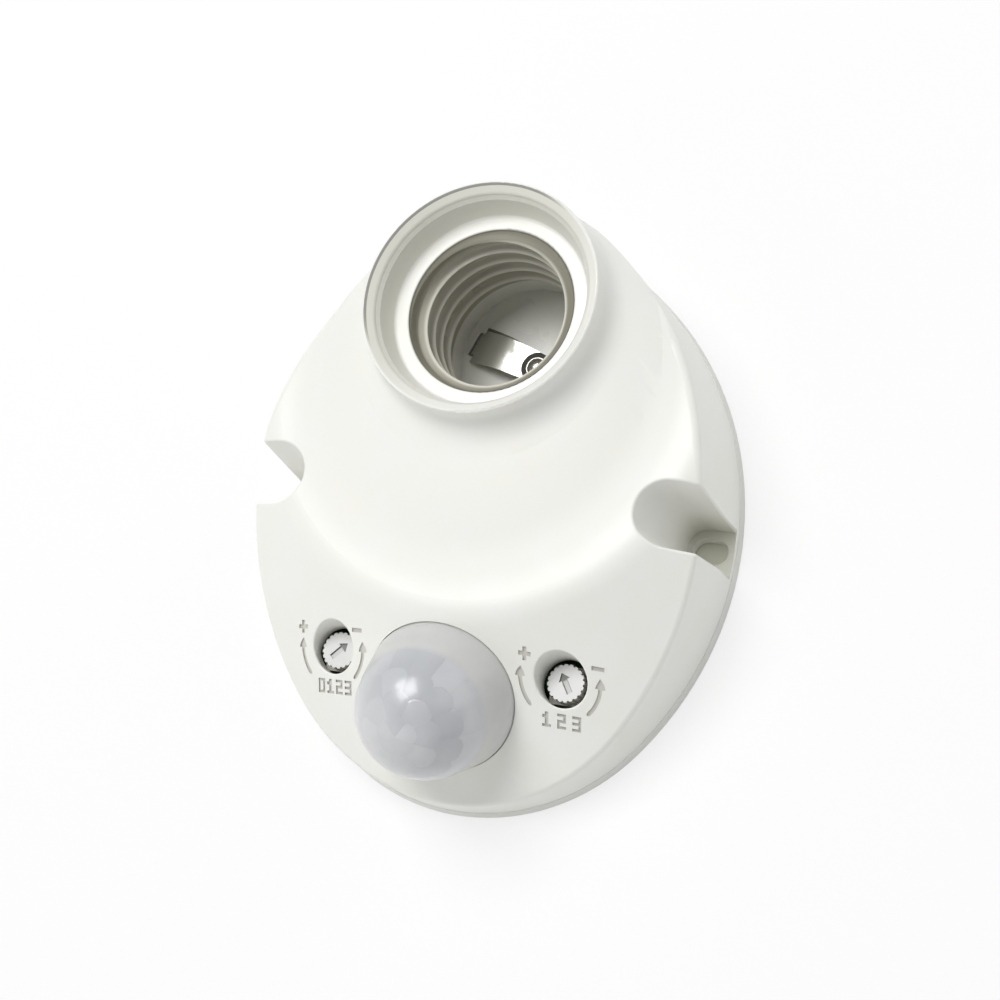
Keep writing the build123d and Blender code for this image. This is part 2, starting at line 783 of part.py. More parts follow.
# Lens: a dome on a tapering skirt, its flange clamped under the sensor face by a ring
flange_bottom = -lens_seat_depth - lens_flange_thickness
with BuildPart() as lens_dome:
    add(dome_form(lens_base_radius, lens_dome_radius, flange_bottom))
    with BuildSketch(lens_plane.offset(flange_bottom)):
        Circle(lens_flange_radius)
    extrude(amount=lens_flange_thickness)
    lens_inside = dome_form(
        lens_base_radius - lens_wall, lens_dome_radius - lens_wall, flange_bottom - overshoot
    )
    add(lens_inside, mode=Mode.SUBTRACT)
finish(lens_dome.part, "lens_dome")

with BuildPart() as lens_retainer:
    with BuildSketch(lens_plane.offset(flange_bottom)):
        Circle(lens_flange_radius)
        Circle(retainer_inner_radius, mode=Mode.SUBTRACT)
    extrude(amount=-(retainer_depth + flange_bottom))
finish(lens_retainer.part, "lens_retainer")

# Circuit board with its tongue under the lens
with BuildPart() as circuit_board:
    with BuildSketch(Plane.XY.offset(board_bottom)) as outline:
        with BuildLine():
            Polyline(
                (-board_half_width, board_top_y),
                (board_half_width, board_top_y),
                (board_half_width, board_shoulder_y),
                (board_tongue_half_width, board_shoulder_y),
                (board_tongue_half_width, board_tongue_y),
                (-board_tongue_half_width, board_tongue_y),
                (-board_tongue_half_width, board_shoulder_y),
                (-board_half_width, board_shoulder_y),
                close=True,
            )
        make_face()
        corners = outline.vertices().filter_by(lambda v: abs(v.X) > board_boss_x)
        chamfer(corners, length=board_chamfer)
        with Locations(*board_bosses):
            Circle(board_hole_radius, mode=Mode.SUBTRACT)
        with Locations(*lower_bosses):
            Circle(plate_boss_radius + board_clearance, mode=Mode.SUBTRACT)
    extrude(amount=board_thickness)
finish(circuit_board.part, "circuit_board")

board_screws = screw_group(
    board_bosses,
    board_bottom - board_screw_head_height,
    board_screw_head_radius,
    board_screw_head_height,
    board_screw_radius,
    board_bottom + board_screw_length,
)
finish(board_screws, "board_screws")

# Motion sensor: a flanged can on three legs with a square window in its top
sensor_bottom = board_top + sensor_stand_off
sensor_top = sensor_bottom + sensor_flange_height + sensor_can_height
with BuildPart() as pir_sensor:
    with BuildSketch(Plane.XY.offset(sensor_bottom)):
        with Locations((0, sensor_y)):
            Circle(sensor_flange_radius)
    extrude(amount=sensor_flange_height)
    with BuildSketch(Plane.XY.offset(sensor_bottom + sensor_flange_height)):
        with Locations((0, sensor_y)):
            Circle(sensor_can_radius)
    extrude(amount=sensor_can_height)
    fillet(pir_sensor.faces().sort_by(Axis.Z)[-1].edges(), radius=sensor_edge)
    with BuildSketch(Plane.XY.offset(sensor_top)):
        with Locations((0, sensor_y)):
            Rectangle(sensor_window_size, sensor_window_size)
    extrude(amount=-sensor_window_depth, mode=Mode.SUBTRACT)
    with BuildSketch(Plane.XY.offset(board_top)):
        with Locations((0, sensor_y)):
            with PolarLocations(sensor_leg_circle, 3, start_angle=90):
                Circle(sensor_leg_radius)
    extrude(amount=sensor_stand_off)
finish(pir_sensor.part, "pir_sensor")

with BuildPart() as light_sensor:
    with BuildSketch(Plane.XY.offset(board_top)):
        with Locations((light_sensor_x, lens_y + light_sensor_above_lens)):
            Circle(light_sensor_radius)
    extrude(amount=light_sensor_height)
    chamfer(light_sensor.faces().sort_by(Axis.Z)[-1].edges(), length=component_edge)
finish(light_sensor.part, "light_sensor")

# Trimmers
rotor_bottom = board_top + trimmer_body_height + trimmer_gap
for trimmer_name, trimmer_side in (("time", -1), ("lux", 1)):
    finish(trimmer_body(trimmer_side), f"{trimmer_name}_trimmer_body")
    finish(trimmer_rotor(trimmer_side), f"{trimmer_name}_trimmer_rotor")

# Power components
power_row_y = board_top_y - power_row_inset
relay_place = (relay_x, power_row_y)
dropper_place = (dropper_x, board_top_y - dropper_inset)
chip_place = (chip_x, board_top_y - chip_inset)
finish(block_component(relay_place, relay_size, component_edge), "relay")
finish(block_component(dropper_place, dropper_size, component_edge), "dropper_capacitor")
finish(block_component(chip_place, chip_size, component_edge / 2), "control_chip")

with BuildPart() as smoothing_capacitor:
    with BuildSketch(Plane.XY.offset(board_top)):
        with Locations((smoothing_x, power_row_y)):
            Circle(smoothing_radius)
    extrude(amount=smoothing_height)
    chamfer(smoothing_capacitor.faces().sort_by(Axis.Z)[-1].edges(), length=component_edge)
finish(smoothing_capacitor.part, "smoothing_capacitor")

diode_height = board_top + diode_radius + diode_stand_off
diode_row_y = board_top_y - diode_row_inset
diode_axis_plane = Plane(origin=(0, diode_row_y, diode_height), x_dir=(1, 0, 0), z_dir=(0, -1, 0))
with BuildPart() as rectifier_diodes:
    for number in range(diode_count):
        diode_x = diode_row_x + (number - (diode_count - 1) / 2) * diode_pitch
        with BuildSketch(diode_axis_plane):
            with Locations((diode_x, 0)):
                Circle(diode_radius)
        extrude(amount=diode_length / 2, both=True)
        near, far = (diode_row_y + end * diode_span / 2 for end in (-1, 1))
        legs = [(diode_x, near, board_top), (diode_x, near, diode_height)]
        legs += [(diode_x, far, diode_height), (diode_x, far, board_top)]
        add(wire(legs, diode_wire_radius, diode_wire_bend))
finish(rectifier_diodes.part, "rectifier_diodes")

# Terminal block with its tubes and screws
poles = (-block_pole_x, block_pole_x)
bore_plane = Plane(origin=(0, block_bottom_y, block_bore_height), x_dir=(1, 0, 0), z_dir=(0, -1, 0))
screw_rows = [block_centre_y + end * terminal_screw_spacing / 2 for end in (-1, 1)]
terminal_screw_places = [(x, y) for x in poles for y in screw_rows]
with BuildPart() as terminal_block:
    with BuildSketch(Plane.XY.offset(block_bottom)):
        with Locations((0, block_centre_y)):
            Rectangle(2 * block_half_width, block_length)
    extrude(amount=block_top - block_bottom)
    chamfer(terminal_block.edges().filter_by(Axis.Z), length=component_edge)
    with BuildSketch(Plane.XY.offset(plate_thickness)):
        with Locations((0, block_centre_y)):
            Rectangle(2 * block_foot_half_width, block_foot_length)
    extrude(amount=block_foot_thickness)
    with BuildSketch(bore_plane):
        with Locations(*[(x, 0) for x in poles]):
            Circle(tube_radius + tube_clearance)
    extrude(amount=-block_length, mode=Mode.SUBTRACT)
    with BuildSketch(Plane.XY.offset(block_bottom)):
        with Locations(*terminal_screw_places):
            Circle(terminal_screw_head_radius + tube_clearance)
    extrude(amount=block_bore_height - block_bottom, mode=Mode.SUBTRACT)
finish(terminal_block.part, "terminal_block")

with BuildPart() as terminal_tubes:
    with BuildSketch(bore_plane.offset(-tube_inset)):
        with Locations(*[(x, 0) for x in poles]):
            Circle(tube_radius)
            Circle(tube_bore_radius, mode=Mode.SUBTRACT)
    extrude(amount=-(block_length - 2 * tube_inset))
    with BuildSketch(Plane.XY.offset(block_bottom)):
        with Locations(*terminal_screw_places):
            Circle(terminal_screw_radius + screw_hole_clearance)
    extrude(amount=block_bore_height - block_bottom, mode=Mode.SUBTRACT)
finish(terminal_tubes.part, "terminal_tubes")

terminal_screws = screw_group(
    terminal_screw_places,
    block_bottom + terminal_screw_inset,
    terminal_screw_head_radius,
    terminal_screw_head_height,
    terminal_screw_radius,
    block_bore_height - lead_radius - screw_hole_clearance,
)
finish(terminal_screws, "terminal_screws")

# Centre contact: a tapering sprung leaf, its tail bent down through the socket floor
tip_rise = radians(contact_tip_rise)
leaf_reach = contact_length + contact_tip_width
leaf_tip_height, leaf_reach_height = (
    contact_knee_height + (reach - contact_knee_reach) * tan(tip_rise) for reach in (contact_length, leaf_reach)
)
with BuildPart() as centre_contact:
    with BuildSketch(contact_plane):
        with BuildLine():
            FilletPolyline(
                (-contact_thickness, -contact_tail_length),
                (-contact_thickness, contact_root_rise),
                (contact_knee_reach, contact_knee_height),
                (leaf_reach, leaf_reach_height),
                radius=[contact_bend, contact_knee_bend],
            )
            offset(amount=contact_thickness, side=Side.RIGHT)
        make_face()
    extrude(amount=contact_root_width, both=True)
    with BuildSketch(contact_floor.offset(-2 * contact_tail_length)):
        with BuildLine():
            Polyline(
                (contact_shoulder, -contact_root_width / 2),
                (contact_length, -contact_tip_width / 2),
                (contact_length, contact_tip_width / 2),
                (contact_shoulder, contact_root_width / 2),
                close=True,
            )
        make_face()
        with Locations((contact_length, 0)):
            Circle(contact_tip_width / 2)
        Rectangle(2 * contact_tail_reach, contact_tail_width)
    extrude(amount=2 * contact_tail_length + contact_length, mode=Mode.INTERSECT)
    leaf_normal = contact_plane.x_dir * -sin(tip_rise) + contact_plane.y_dir * cos(tip_rise)
    leaf_end = contact_plane.from_local_coords((contact_length, leaf_tip_height))
    leaf_end_plane = Plane(origin=leaf_end, x_dir=contact_plane.z_dir, z_dir=leaf_normal)
    with BuildSketch(leaf_end_plane.offset(contact_thickness)):
        Circle(rivet_shank_radius + rivet_clearance)
    extrude(amount=-3 * contact_thickness, mode=Mode.SUBTRACT)
finish(centre_contact.part, "centre_contact")

# Domed tip riveted through the leaf
rivet_dome_radius = (rivet_head_radius**2 + rivet_head_height**2) / (2 * rivet_head_height)
rivet_middle = radians(90) - asin(rivet_head_radius / rivet_dome_radius) / 2
rivet_centre = rivet_head_height - rivet_dome_radius
with BuildPart() as centre_contact_rivet:
    with BuildSketch(Plane(origin=leaf_end, x_dir=contact_plane.z_dir, z_dir=-leaf_end_plane.y_dir)):
        with BuildLine():
            Polyline(
                (0, rivet_head_height),
                (0, -contact_thickness - rivet_tail_height),
                (rivet_head_radius, -contact_thickness - rivet_tail_height),
                (rivet_head_radius, -contact_thickness),
                (rivet_shank_radius, -contact_thickness),
                (rivet_shank_radius, 0),
                (rivet_head_radius, 0),
            )
            ThreePointArc(
                (rivet_head_radius, 0),
                (rivet_dome_radius * cos(rivet_middle), rivet_centre + rivet_dome_radius * sin(rivet_middle)),
                (0, rivet_head_height),
            )
        make_face()
    revolve(axis=Axis(leaf_end, leaf_normal))
finish(centre_contact_rivet.part, "centre_contact_rivet")

# Side contact: a bowed strip that stands in the floor slot and leans into the bore
with BuildPart() as side_contact:
    with BuildSketch(side_plane):
        with BuildLine():
            FilletPolyline(
                (side_contact_root_radius, socket_floor_height - contact_tail_length),
                (side_contact_root_radius, side_contact_knee_height),
                (side_contact_crest_radius, side_contact_crest_height),
                (side_contact_tip_radius, side_contact_tip_height),
                radius=contact_bend,
            )
            offset(amount=side_contact_thickness, side=Side.RIGHT)
        make_face()
    extrude(amount=side_contact_width / 2, both=True)
finish(side_contact.part, "side_contact")

# Leads: supply to the board, and from the board to the two contacts
supply_start_y = block_top_y - tube_inset - supply_lead_entry
supply_lead_run_y = block_top_y + supply_lead_run_gap
lead_board_y = board_top_y - lead_board_inset
supply_bends = [lead_tight_bend, lead_bend, lead_tight_bend]
with BuildPart() as supply_leads:
    for side in (-1, 1):
        lead_x = side * supply_lead_x
        route = [(side * block_pole_x, supply_start_y, block_bore_height)]
        route += [(side * block_pole_x, supply_lead_run_y, block_bore_height)]
        route += [(lead_x, supply_lead_run_y, block_bore_height)]
        route += [(lead_x, lead_board_y, block_bore_height)]
        route += [(lead_x, lead_board_y, board_bottom)]
        add(wire(route, lead_radius, supply_bends))
finish(supply_leads.part, "supply_leads")

contact_lead_turn_y = block_top_y - contact_lead_turn_drop
tail_reach = side_contact_root_radius + side_contact_thickness + lead_gap
for contact, origin, direction, start, reach, side, first_bend in (
    ("centre", contact_floor.origin, contact_direction, lead_gap, lead_reach, -1, lead_tight_bend),
    ("side", side_floor.origin, side_direction, tail_reach, 2 * lead_reach, 1, lead_bend),
):
    begin = origin + direction * start
    turn = begin + direction * reach
    lead_x = side * contact_lead_x
    route = [(begin.X, begin.Y, lead_floor_height), (turn.X, turn.Y, lead_floor_height)]
    route += [(lead_x, contact_lead_turn_y, lead_floor_height), (lead_x, lead_board_y, lead_floor_height)]
    route += [(lead_x, lead_board_y, board_bottom)]
    finish(wire(route, lead_radius, [first_bend, lead_wide_bend, lead_bend]), f"{contact}_contact_lead")
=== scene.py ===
import json
import math

import bmesh
import bpy
from mathutils import Matrix, Vector
from mathutils.bvhtree import BVHTree


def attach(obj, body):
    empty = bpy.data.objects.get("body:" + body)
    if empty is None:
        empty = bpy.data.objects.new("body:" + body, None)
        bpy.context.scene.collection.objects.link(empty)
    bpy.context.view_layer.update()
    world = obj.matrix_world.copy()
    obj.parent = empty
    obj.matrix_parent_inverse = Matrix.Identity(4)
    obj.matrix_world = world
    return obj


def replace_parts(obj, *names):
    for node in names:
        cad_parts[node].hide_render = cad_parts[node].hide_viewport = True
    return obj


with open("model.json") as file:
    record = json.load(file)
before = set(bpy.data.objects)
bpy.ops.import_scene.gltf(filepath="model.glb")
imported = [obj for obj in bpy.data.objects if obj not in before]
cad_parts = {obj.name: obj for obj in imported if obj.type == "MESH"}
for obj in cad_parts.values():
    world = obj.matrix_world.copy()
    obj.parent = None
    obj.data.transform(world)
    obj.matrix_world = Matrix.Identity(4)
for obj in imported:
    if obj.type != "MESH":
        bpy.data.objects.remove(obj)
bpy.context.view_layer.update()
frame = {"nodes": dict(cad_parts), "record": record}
nodes = frame["nodes"]

# Wall lamp holder with a motion sensor, lying on its back. Metres, +Z out of the wall, +Y to the lamp end.
MM = 0.001

# Places on the moulding that the finishes and the scene's own pieces follow, in millimetres. A pair of
# heights or distances is where a change of tone starts and where it is full.

# Socket: the bore, its mouth and its floor
socket_x, socket_y = 0.0, 26.9
bore_radius = 13.3
shell_radius = 13.0
bore_step_height = 17.4
mouth_radius = 13.9
bore_top = 26.1
bore_floor = (10.0, 10.5)
mouth_shade = (25.4, 26.6)

# Lamp thread, its phase in radians; the level is a height where its crest passes the phase
thread_pitch = 3.629
thread_crest = 11.9
thread_sharpness = 4.2
thread_top = 28.2
thread_bottom = 10.6
thread_phase = math.radians(200)
thread_level = 24.9

# Lamp recess and the rim round it
recess_bottom = (28.4, 28.9)
rim_edge_radius = 19.2
rim_inner_radius = 17.75
rim_band_bottom = 33.9
rim_brink = (18.85, 19.15)
rim_fall = 1.1

# Hump: a leaning cone from its foot on the terrace; across, out and lean are shares of its slope
hump_foot_y = 15.7
hump_foot_radius = 30.7
hump_rise = 5.2
hump_run = 10.9
hump_lean = 11.2
terrace_height = 24.4

# Side notches, measured from the long axis, from their own middle and from the wall
notch_y = -2.1
notch_half = 4.0
notch_across = (30.5, 33.0)
notch_edge = (39.4, 39.6)
notch_floor = (2.2, 2.4)
notch_fade = (2.6, 13.0)

# Adjusting wells and their rotors
trimmer_x, trimmer_y = 19.5, -28.4
rotor_top = 14.65

# Centre contact: its root and turn in plan, then distances from its end for the ring of painted shade and along it
# for the painted reflection
contact_root = (-10.3, 28.9)
contact_turn = math.radians(-19.4)
contact_length = 13.4
contact_half_width = 3.0
contact_ring = (1.85, 2.65)
contact_painted_reflection = (6.6, 8.6)

# Lens: its frame, and the side on which its cap gets paler with painted light
lens_centre = Vector((0.0, -33.75, 16.64))
lens_axis = Vector((0.0, -0.54464, 0.83867))
lens_across = Vector((1.0, 0.0, 0.0))
lens_along = lens_axis.cross(lens_across)
lens_lit_side = Vector((-0.65, -0.5, -0.25))
lens_lit_start = 4.0
lens_reach = 15.0


class Field:
    """A shader socket that takes part in arithmetic; make() adds any node to its tree."""

    def __init__(self, tree, socket=None):
        self.tree = tree
        self.socket = socket

    def make(self, kind, settings=None, sockets=None, output=0):
        """Add a node: its settings first, then the values or links of its sockets."""
        node = self.tree.nodes.new(kind)
        for name, value in (settings or {}).items():
            setattr(node, name, value)
        for name, value in (sockets or {}).items():
            if isinstance(value, Field):
                self.tree.links.new(value.socket, node.inputs[name])
            else:
                node.inputs[name].default_value = value
        return Field(self.tree, node.outputs[output])

    def math(self, operation, first, second=0.0):
        """One step of arithmetic."""
        return self.make("ShaderNodeMath", {"operation": operation}, {0: first, 1: second})

    def __add__(self, other):
        return self.math("ADD", self, other)

    __radd__ = __add__

    def __sub__(self, other):
        return self.math("SUBTRACT", self, other)

    def __rsub__(self, other):
        return self.math("SUBTRACT", other, self)

    def __mul__(self, other):
        return self.math("MULTIPLY", self, other)

    __rmul__ = __mul__

    def __truediv__(self, other):
        return self.math("DIVIDE", self, other)

    def __pow__(self, other):
        return self.math("POWER", self, other)

    def smooth(self, low, high):
        """0 below low, 1 above high, eased in between."""
        return self.make(
            "ShaderNodeMapRange",
            {"interpolation_type": "SMOOTHSTEP"},
            {"Value": self, "From Min": low, "From Max": high},
        )

    def between(self, low, high, edge):
        """1 from low to high, eased to 0 over this edge on both sides."""
        return self.smooth(low - edge, low) * (1 - self.smooth(high, high + edge))


def mix_colours(mask, first, second):
    """The first colour where the mask is 0 and the second where it is 1."""
    return mask.make(
        "ShaderNodeMix", {"data_type": "RGBA"}, {"Factor": mask, 6: first, 7: second}, output=2
    )


def places(start):
    """The three coordinates of the object's own space, in millimetres."""
    place = start.make("ShaderNodeTexCoord", output="Object")
    split = start.make("ShaderNodeSeparateXYZ", {}, {0: place}).socket.node
    return [Field(start.tree, split.outputs[axis]) / MM for axis in "XYZ"]


def distance_from(x, y, centre_x, centre_y):
    """Distance in plan from one point, in millimetres."""
    return ((x - centre_x) ** 2 + (y - centre_y) ** 2) ** 0.5


def noise(start, scale, detail=2.0, roughness=0.5):
    """Noise through the object's own space, in features per metre."""
    place = start.make("ShaderNodeTexCoord", output="Object")
    return start.make(
        "ShaderNodeTexNoise", {}, {"Vector": place, "Scale": scale, "Detail": detail, "Roughness": roughness}
    )


def material(name, **sockets):
    """A new material with constant values on its Principled shader, and its start for expressions."""
    made = bpy.data.materials.new(name)
    made.use_nodes = True
    shader = made.node_tree.nodes["Principled BSDF"]
    for socket, value in sockets.items():
        shader.inputs[socket.replace("_", " ")].default_value = value
    return made, Field(made.node_tree), shader


def feed(shader, name, field):
    """Let a varying value drive one socket of the shader."""
    field.tree.links.new(field.socket, shader.inputs[name])


def bump(shader, height, distance, strength=1.0):
    """Small relief, in metres, on the shader's normal."""
    relief = height.make("ShaderNodeBump", {}, {"Height": height, "Distance": distance, "Strength": strength})
    feed(shader, "Normal", relief)


def shade(colour, share):
    """A colour at this share of its strength."""
    return (colour[0] * share, colour[1] * share, colour[2] * share, 1)


def moulded_plastic(name, colour, roughness, relief, grain_scale=2600.0, coat=0.0):
    """Moulded thermoplastic: fine grain and a little unevenness in tone and gloss."""
    made, start, shader = material(
        name, Roughness=roughness, Coat_Weight=coat, Coat_Roughness=0.12, IOR=1.5
    )
    cloud = noise(start, 90.0, 3.0)
    warm = (colour[0], colour[1] * 0.996, colour[2] * 0.98, 1)
    feed(shader, "Base Color", mix_colours(cloud.smooth(0.35, 0.7), shade(colour, 1), warm))
    feed(shader, "Roughness", roughness + 0.06 * (cloud - 0.5))
    bump(shader, noise(start, grain_scale), relief, 0.5)
    return made


def shell_plastic():
    """The white moulding, with yellowish painted shade in the screw shell, the lamp recess, along the rim and in the
    notches.
    """
    made, start, shader = material("shell_white", Roughness=0.42, IOR=1.5)
    x, y, z = places(start)
    cloud = noise(start, 90.0, 3.0)
    warm = (WHITE[0], WHITE[1] * 0.996, WHITE[2] * 0.975, 1)
    fresh = mix_colours(cloud.smooth(0.35, 0.7), shade(WHITE, 1), warm)
    reach = distance_from(x, y, socket_x, socket_y)
    inside = (1 - reach.smooth(mouth_radius - 0.02, mouth_radius + 0.08)) * z.between(4.5, thread_top - 0.1, 0.15)
    crest = inside * (1 - reach.smooth(thread_crest + 0.15, thread_crest + 0.75)) * z.smooth(11.0, 12.0)
    # painted shade on the upper-left side of the lamp recess and the rim's land
    upper_left = ((y - socket_y) * 0.75 - (x - socket_x) * 0.66) / (reach + 0.01)
    recess = z.smooth(*recess_bottom) * (1 - reach.smooth(18.9, 19.1)) * upper_left.smooth(-0.75, 0.35)
    # painted shade: a dark line along the rim's brink on its upper-left side
    brink = z.smooth(31.0, 31.5) * reach.between(*rim_brink, 0.08) * upper_left.smooth(0.1, 0.5)
    # painted shade in the side notches, fading out upwards
    across = (x * x) ** 0.5
    pocket = across.smooth(*notch_across) * (1 - distance_from(x, y, 0.0, notch_y).smooth(*notch_edge))
    pocket = pocket * y.between(notch_y - notch_half, notch_y + notch_half, 0.3)
    pocket = pocket * z.smooth(*notch_floor) * (1 - z.smooth(*notch_fade))
    outer = mix_colours(pocket * 0.7, fresh, (*NOTCH_PAINTED_SHADE, 1))
    outer = mix_colours(recess, outer, (*RECESS_PAINTED_SHADE, 1))
    outer = mix_colours(brink * 0.7, outer, (*BRINK_PAINTED_SHADE, 1))
    # painted shade: the bore's wall dark and olive, its floor only a little darker than the white
    wall = mix_colours(z.smooth(*bore_floor), (*BORE_FLOOR_PAINTED_SHADE, 1), (*BORE_PAINTED_SHADE, 1))
    # painted shade: a darker band round the bore's mouth
    wall = mix_colours(z.smooth(*mouth_shade), wall, (*MOUTH_PAINTED_SHADE, 1))
    # painted light: the thread's crests lighter than the wall's painted shade
    wall = mix_colours(crest * (1 - 0.6 * z.smooth(26.5, 27.5)), wall, (*CREST_PAINTED_LIGHT, 1))
    feed(shader, "Base Color", mix_colours(inside, outer, wall))
    feed(shader, "Roughness", 0.42 + 0.06 * (cloud - 0.5) - 0.14 * inside - 0.06 * crest)
    bump(shader, noise(start, 2600.0), 0.000012, 0.5)
    return made


def metal(name, colour, roughness, scratch=0.0, scratch_scale=(400.0, 9000.0, 9000.0)):
    """Plain or plated metal with fine lines along one direction and a little tarnish."""
    made, start, shader = material(name, Metallic=1.0, Roughness=roughness)
    place = start.make("ShaderNodeTexCoord", output="Object")
    stretched = start.make("ShaderNodeMapping", {}, {"Vector": place, "Scale": scratch_scale})
    lines = start.make("ShaderNodeTexNoise", {}, {"Vector": stretched, "Scale": 1.0, "Detail": 3.0})
    cloud = noise(start, 260.0, 3.0)
    feed(shader, "Base Color", mix_colours(cloud.smooth(0.42, 0.75), shade(colour, 1), shade(colour, 0.8)))
    feed(shader, "Roughness", roughness + 0.18 * (lines - 0.5) + 0.12 * (cloud - 0.5))
    bump(shader, lines, scratch, 0.6)
    return made


def contact_strip():
    """Nickel strip: a painted reflection, dull dark root and bright end; painted shade in a ring round the rivet and
    on one edge.
    """
    made, start, shader = material("nickel_strip", Metallic=1.0, Roughness=0.3)
    x, y, z = places(start)
    cosine, sine = math.cos(contact_turn), math.sin(contact_turn)
    along = (x - contact_root[0]) * cosine + (y - contact_root[1]) * sine
    cloud = noise(start, 420.0, 4.0, 0.6)
    end_x = contact_root[0] + contact_length * cosine
    end_y = contact_root[1] + contact_length * sine
    reach = distance_from(x, y, end_x, end_y)
    # painted shade: a dark ring round the rivet, open towards one side
    open_side = ((x - end_x) * 0.7 - (y - end_y) * 0.7) / (reach + 0.01)
    ring = reach.between(*contact_ring, 0.12) * (1 - open_side.smooth(0.45, 0.75))
    # painted shade along one edge of the leaf
    side = (y - contact_root[1]) * cosine - (x - contact_root[0]) * sine
    edge = 0.8 * side.smooth(contact_half_width - 0.3, contact_half_width - 0.15)
    dark = ring.math("MAXIMUM", ring, edge)
    # painted reflection: the root dark, duller and less metallic, the end bright
    bright = (along + 6.0 * (cloud - 0.5)).smooth(*contact_painted_reflection)
    colour = mix_colours(bright, (0.40, 0.395, 0.35, 1), (0.66, 0.65, 0.61, 1))
    feed(shader, "Base Color", mix_colours(dark, colour, (0.045, 0.042, 0.035, 1)))
    feed(shader, "Metallic", (0.55 + 0.45 * bright) * (1 - dark))
    feed(shader, "Roughness", 0.5 - 0.2 * bright + 0.2 * (cloud - 0.5) + 0.45 * dark)
    bump(shader, cloud, 0.00003, 0.5)
    return made


def rotor_plastic():
    """White adjusting disc whose fluted side is darker with painted shade."""
    made, start, shader = material("rotor_white", Roughness=0.38, IOR=1.5)
    z = places(start)[2]
    cloud = noise(start, 500.0, 3.0)
    face = z.smooth(rotor_top - 0.16, rotor_top - 0.05)
    # painted shade: the fluted side darker than the face
    feed(shader, "Base Color", mix_colours(face, (0.42, 0.41, 0.37, 1), (0.66, 0.66, 0.65, 1)))
    feed(shader, "Roughness", 0.36 + 0.1 * (cloud - 0.5))
    bump(shader, cloud, 0.00002, 0.4)
    return made


def lens_plastic():
    """Milky lens sheet: a bluish cap with painted light at its low side, on a plainer, warmer skirt."""
    made, start, shader = material(
        "lens_milky",
        Roughness=0.3,
        Coat_Weight=0.4,
        Coat_Roughness=0.07,
        IOR=1.5,
        Subsurface_Weight=0.75,
        Subsurface_Radius=(1.0, 1.0, 1.0),
        Subsurface_Scale=0.006,
    )
    tone = start.make("ShaderNodeAttribute", {"attribute_name": "lens_tone"}, output="Fac")
    cap = start.make("ShaderNodeAttribute", {"attribute_name": "lens_cap"}, output="Fac")
    cloud = noise(start, 240.0, 3.0)
    skirt = mix_colours(cloud.smooth(0.3, 0.8), (*SKIRT, 1), shade(SKIRT, 0.96))
    petals = mix_colours(tone, shade(PETAL, 0.86), shade(PETAL, 1.08))
    x, y, z = places(start)
    # painted light: the cap paler towards its low side
    away = [(place - centre) * share for place, centre, share in zip((x, y, z), lens_centre, lens_lit_side)]
    low = (away[0] + away[1] + away[2] + lens_lit_start) / lens_reach
    petals = mix_colours(low.smooth(0.0, 1.0), petals, (*PAINTED_LIGHT_PETAL, 1))
    feed(shader, "Base Color", mix_colours(cap, skirt, petals))
    feed(shader, "Roughness", 0.3 + 0.1 * (cloud - 0.5))
    bump(shader, cloud, 0.00003, 0.4)
    return made


def insulation(name, colour):
    """Extruded wire insulation with a slightly uneven surface."""
    made, start, shader = material(name, Roughness=0.42, IOR=1.5)
    wave = noise(start, 700.0)
    feed(shader, "Base Color", mix_colours(wave.smooth(0.3, 0.8), shade(colour, 1), shade(colour, 0.75)))
    feed(shader, "Roughness", 0.36 + 0.16 * wave)
    bump(shader, wave, 0.00004, 0.6)
    return made


def board_laminate():
    """Green solder mask with paler copper tracks showing through."""
    made, start, shader = material("board_laminate", Roughness=0.34, Coat_Weight=0.4, Coat_Roughness=0.15)
    place = start.make("ShaderNodeTexCoord", output="Object")
    rows = start.make(
        "ShaderNodeTexVoronoi", {"feature": "DISTANCE_TO_EDGE"}, {"Vector": place, "Scale": 230.0}
    )
    tracks = rows.smooth(0.10, 0.14)
    feed(shader, "Base Color", mix_colours(tracks, (0.035, 0.13, 0.06, 1), (0.05, 0.22, 0.09, 1)))
    feed(shader, "Roughness", 0.3 + 0.12 * noise(start, 900.0))
    bump(shader, tracks, 0.00004, 0.6)
    return made


WHITE = (0.87, 0.872, 0.835)
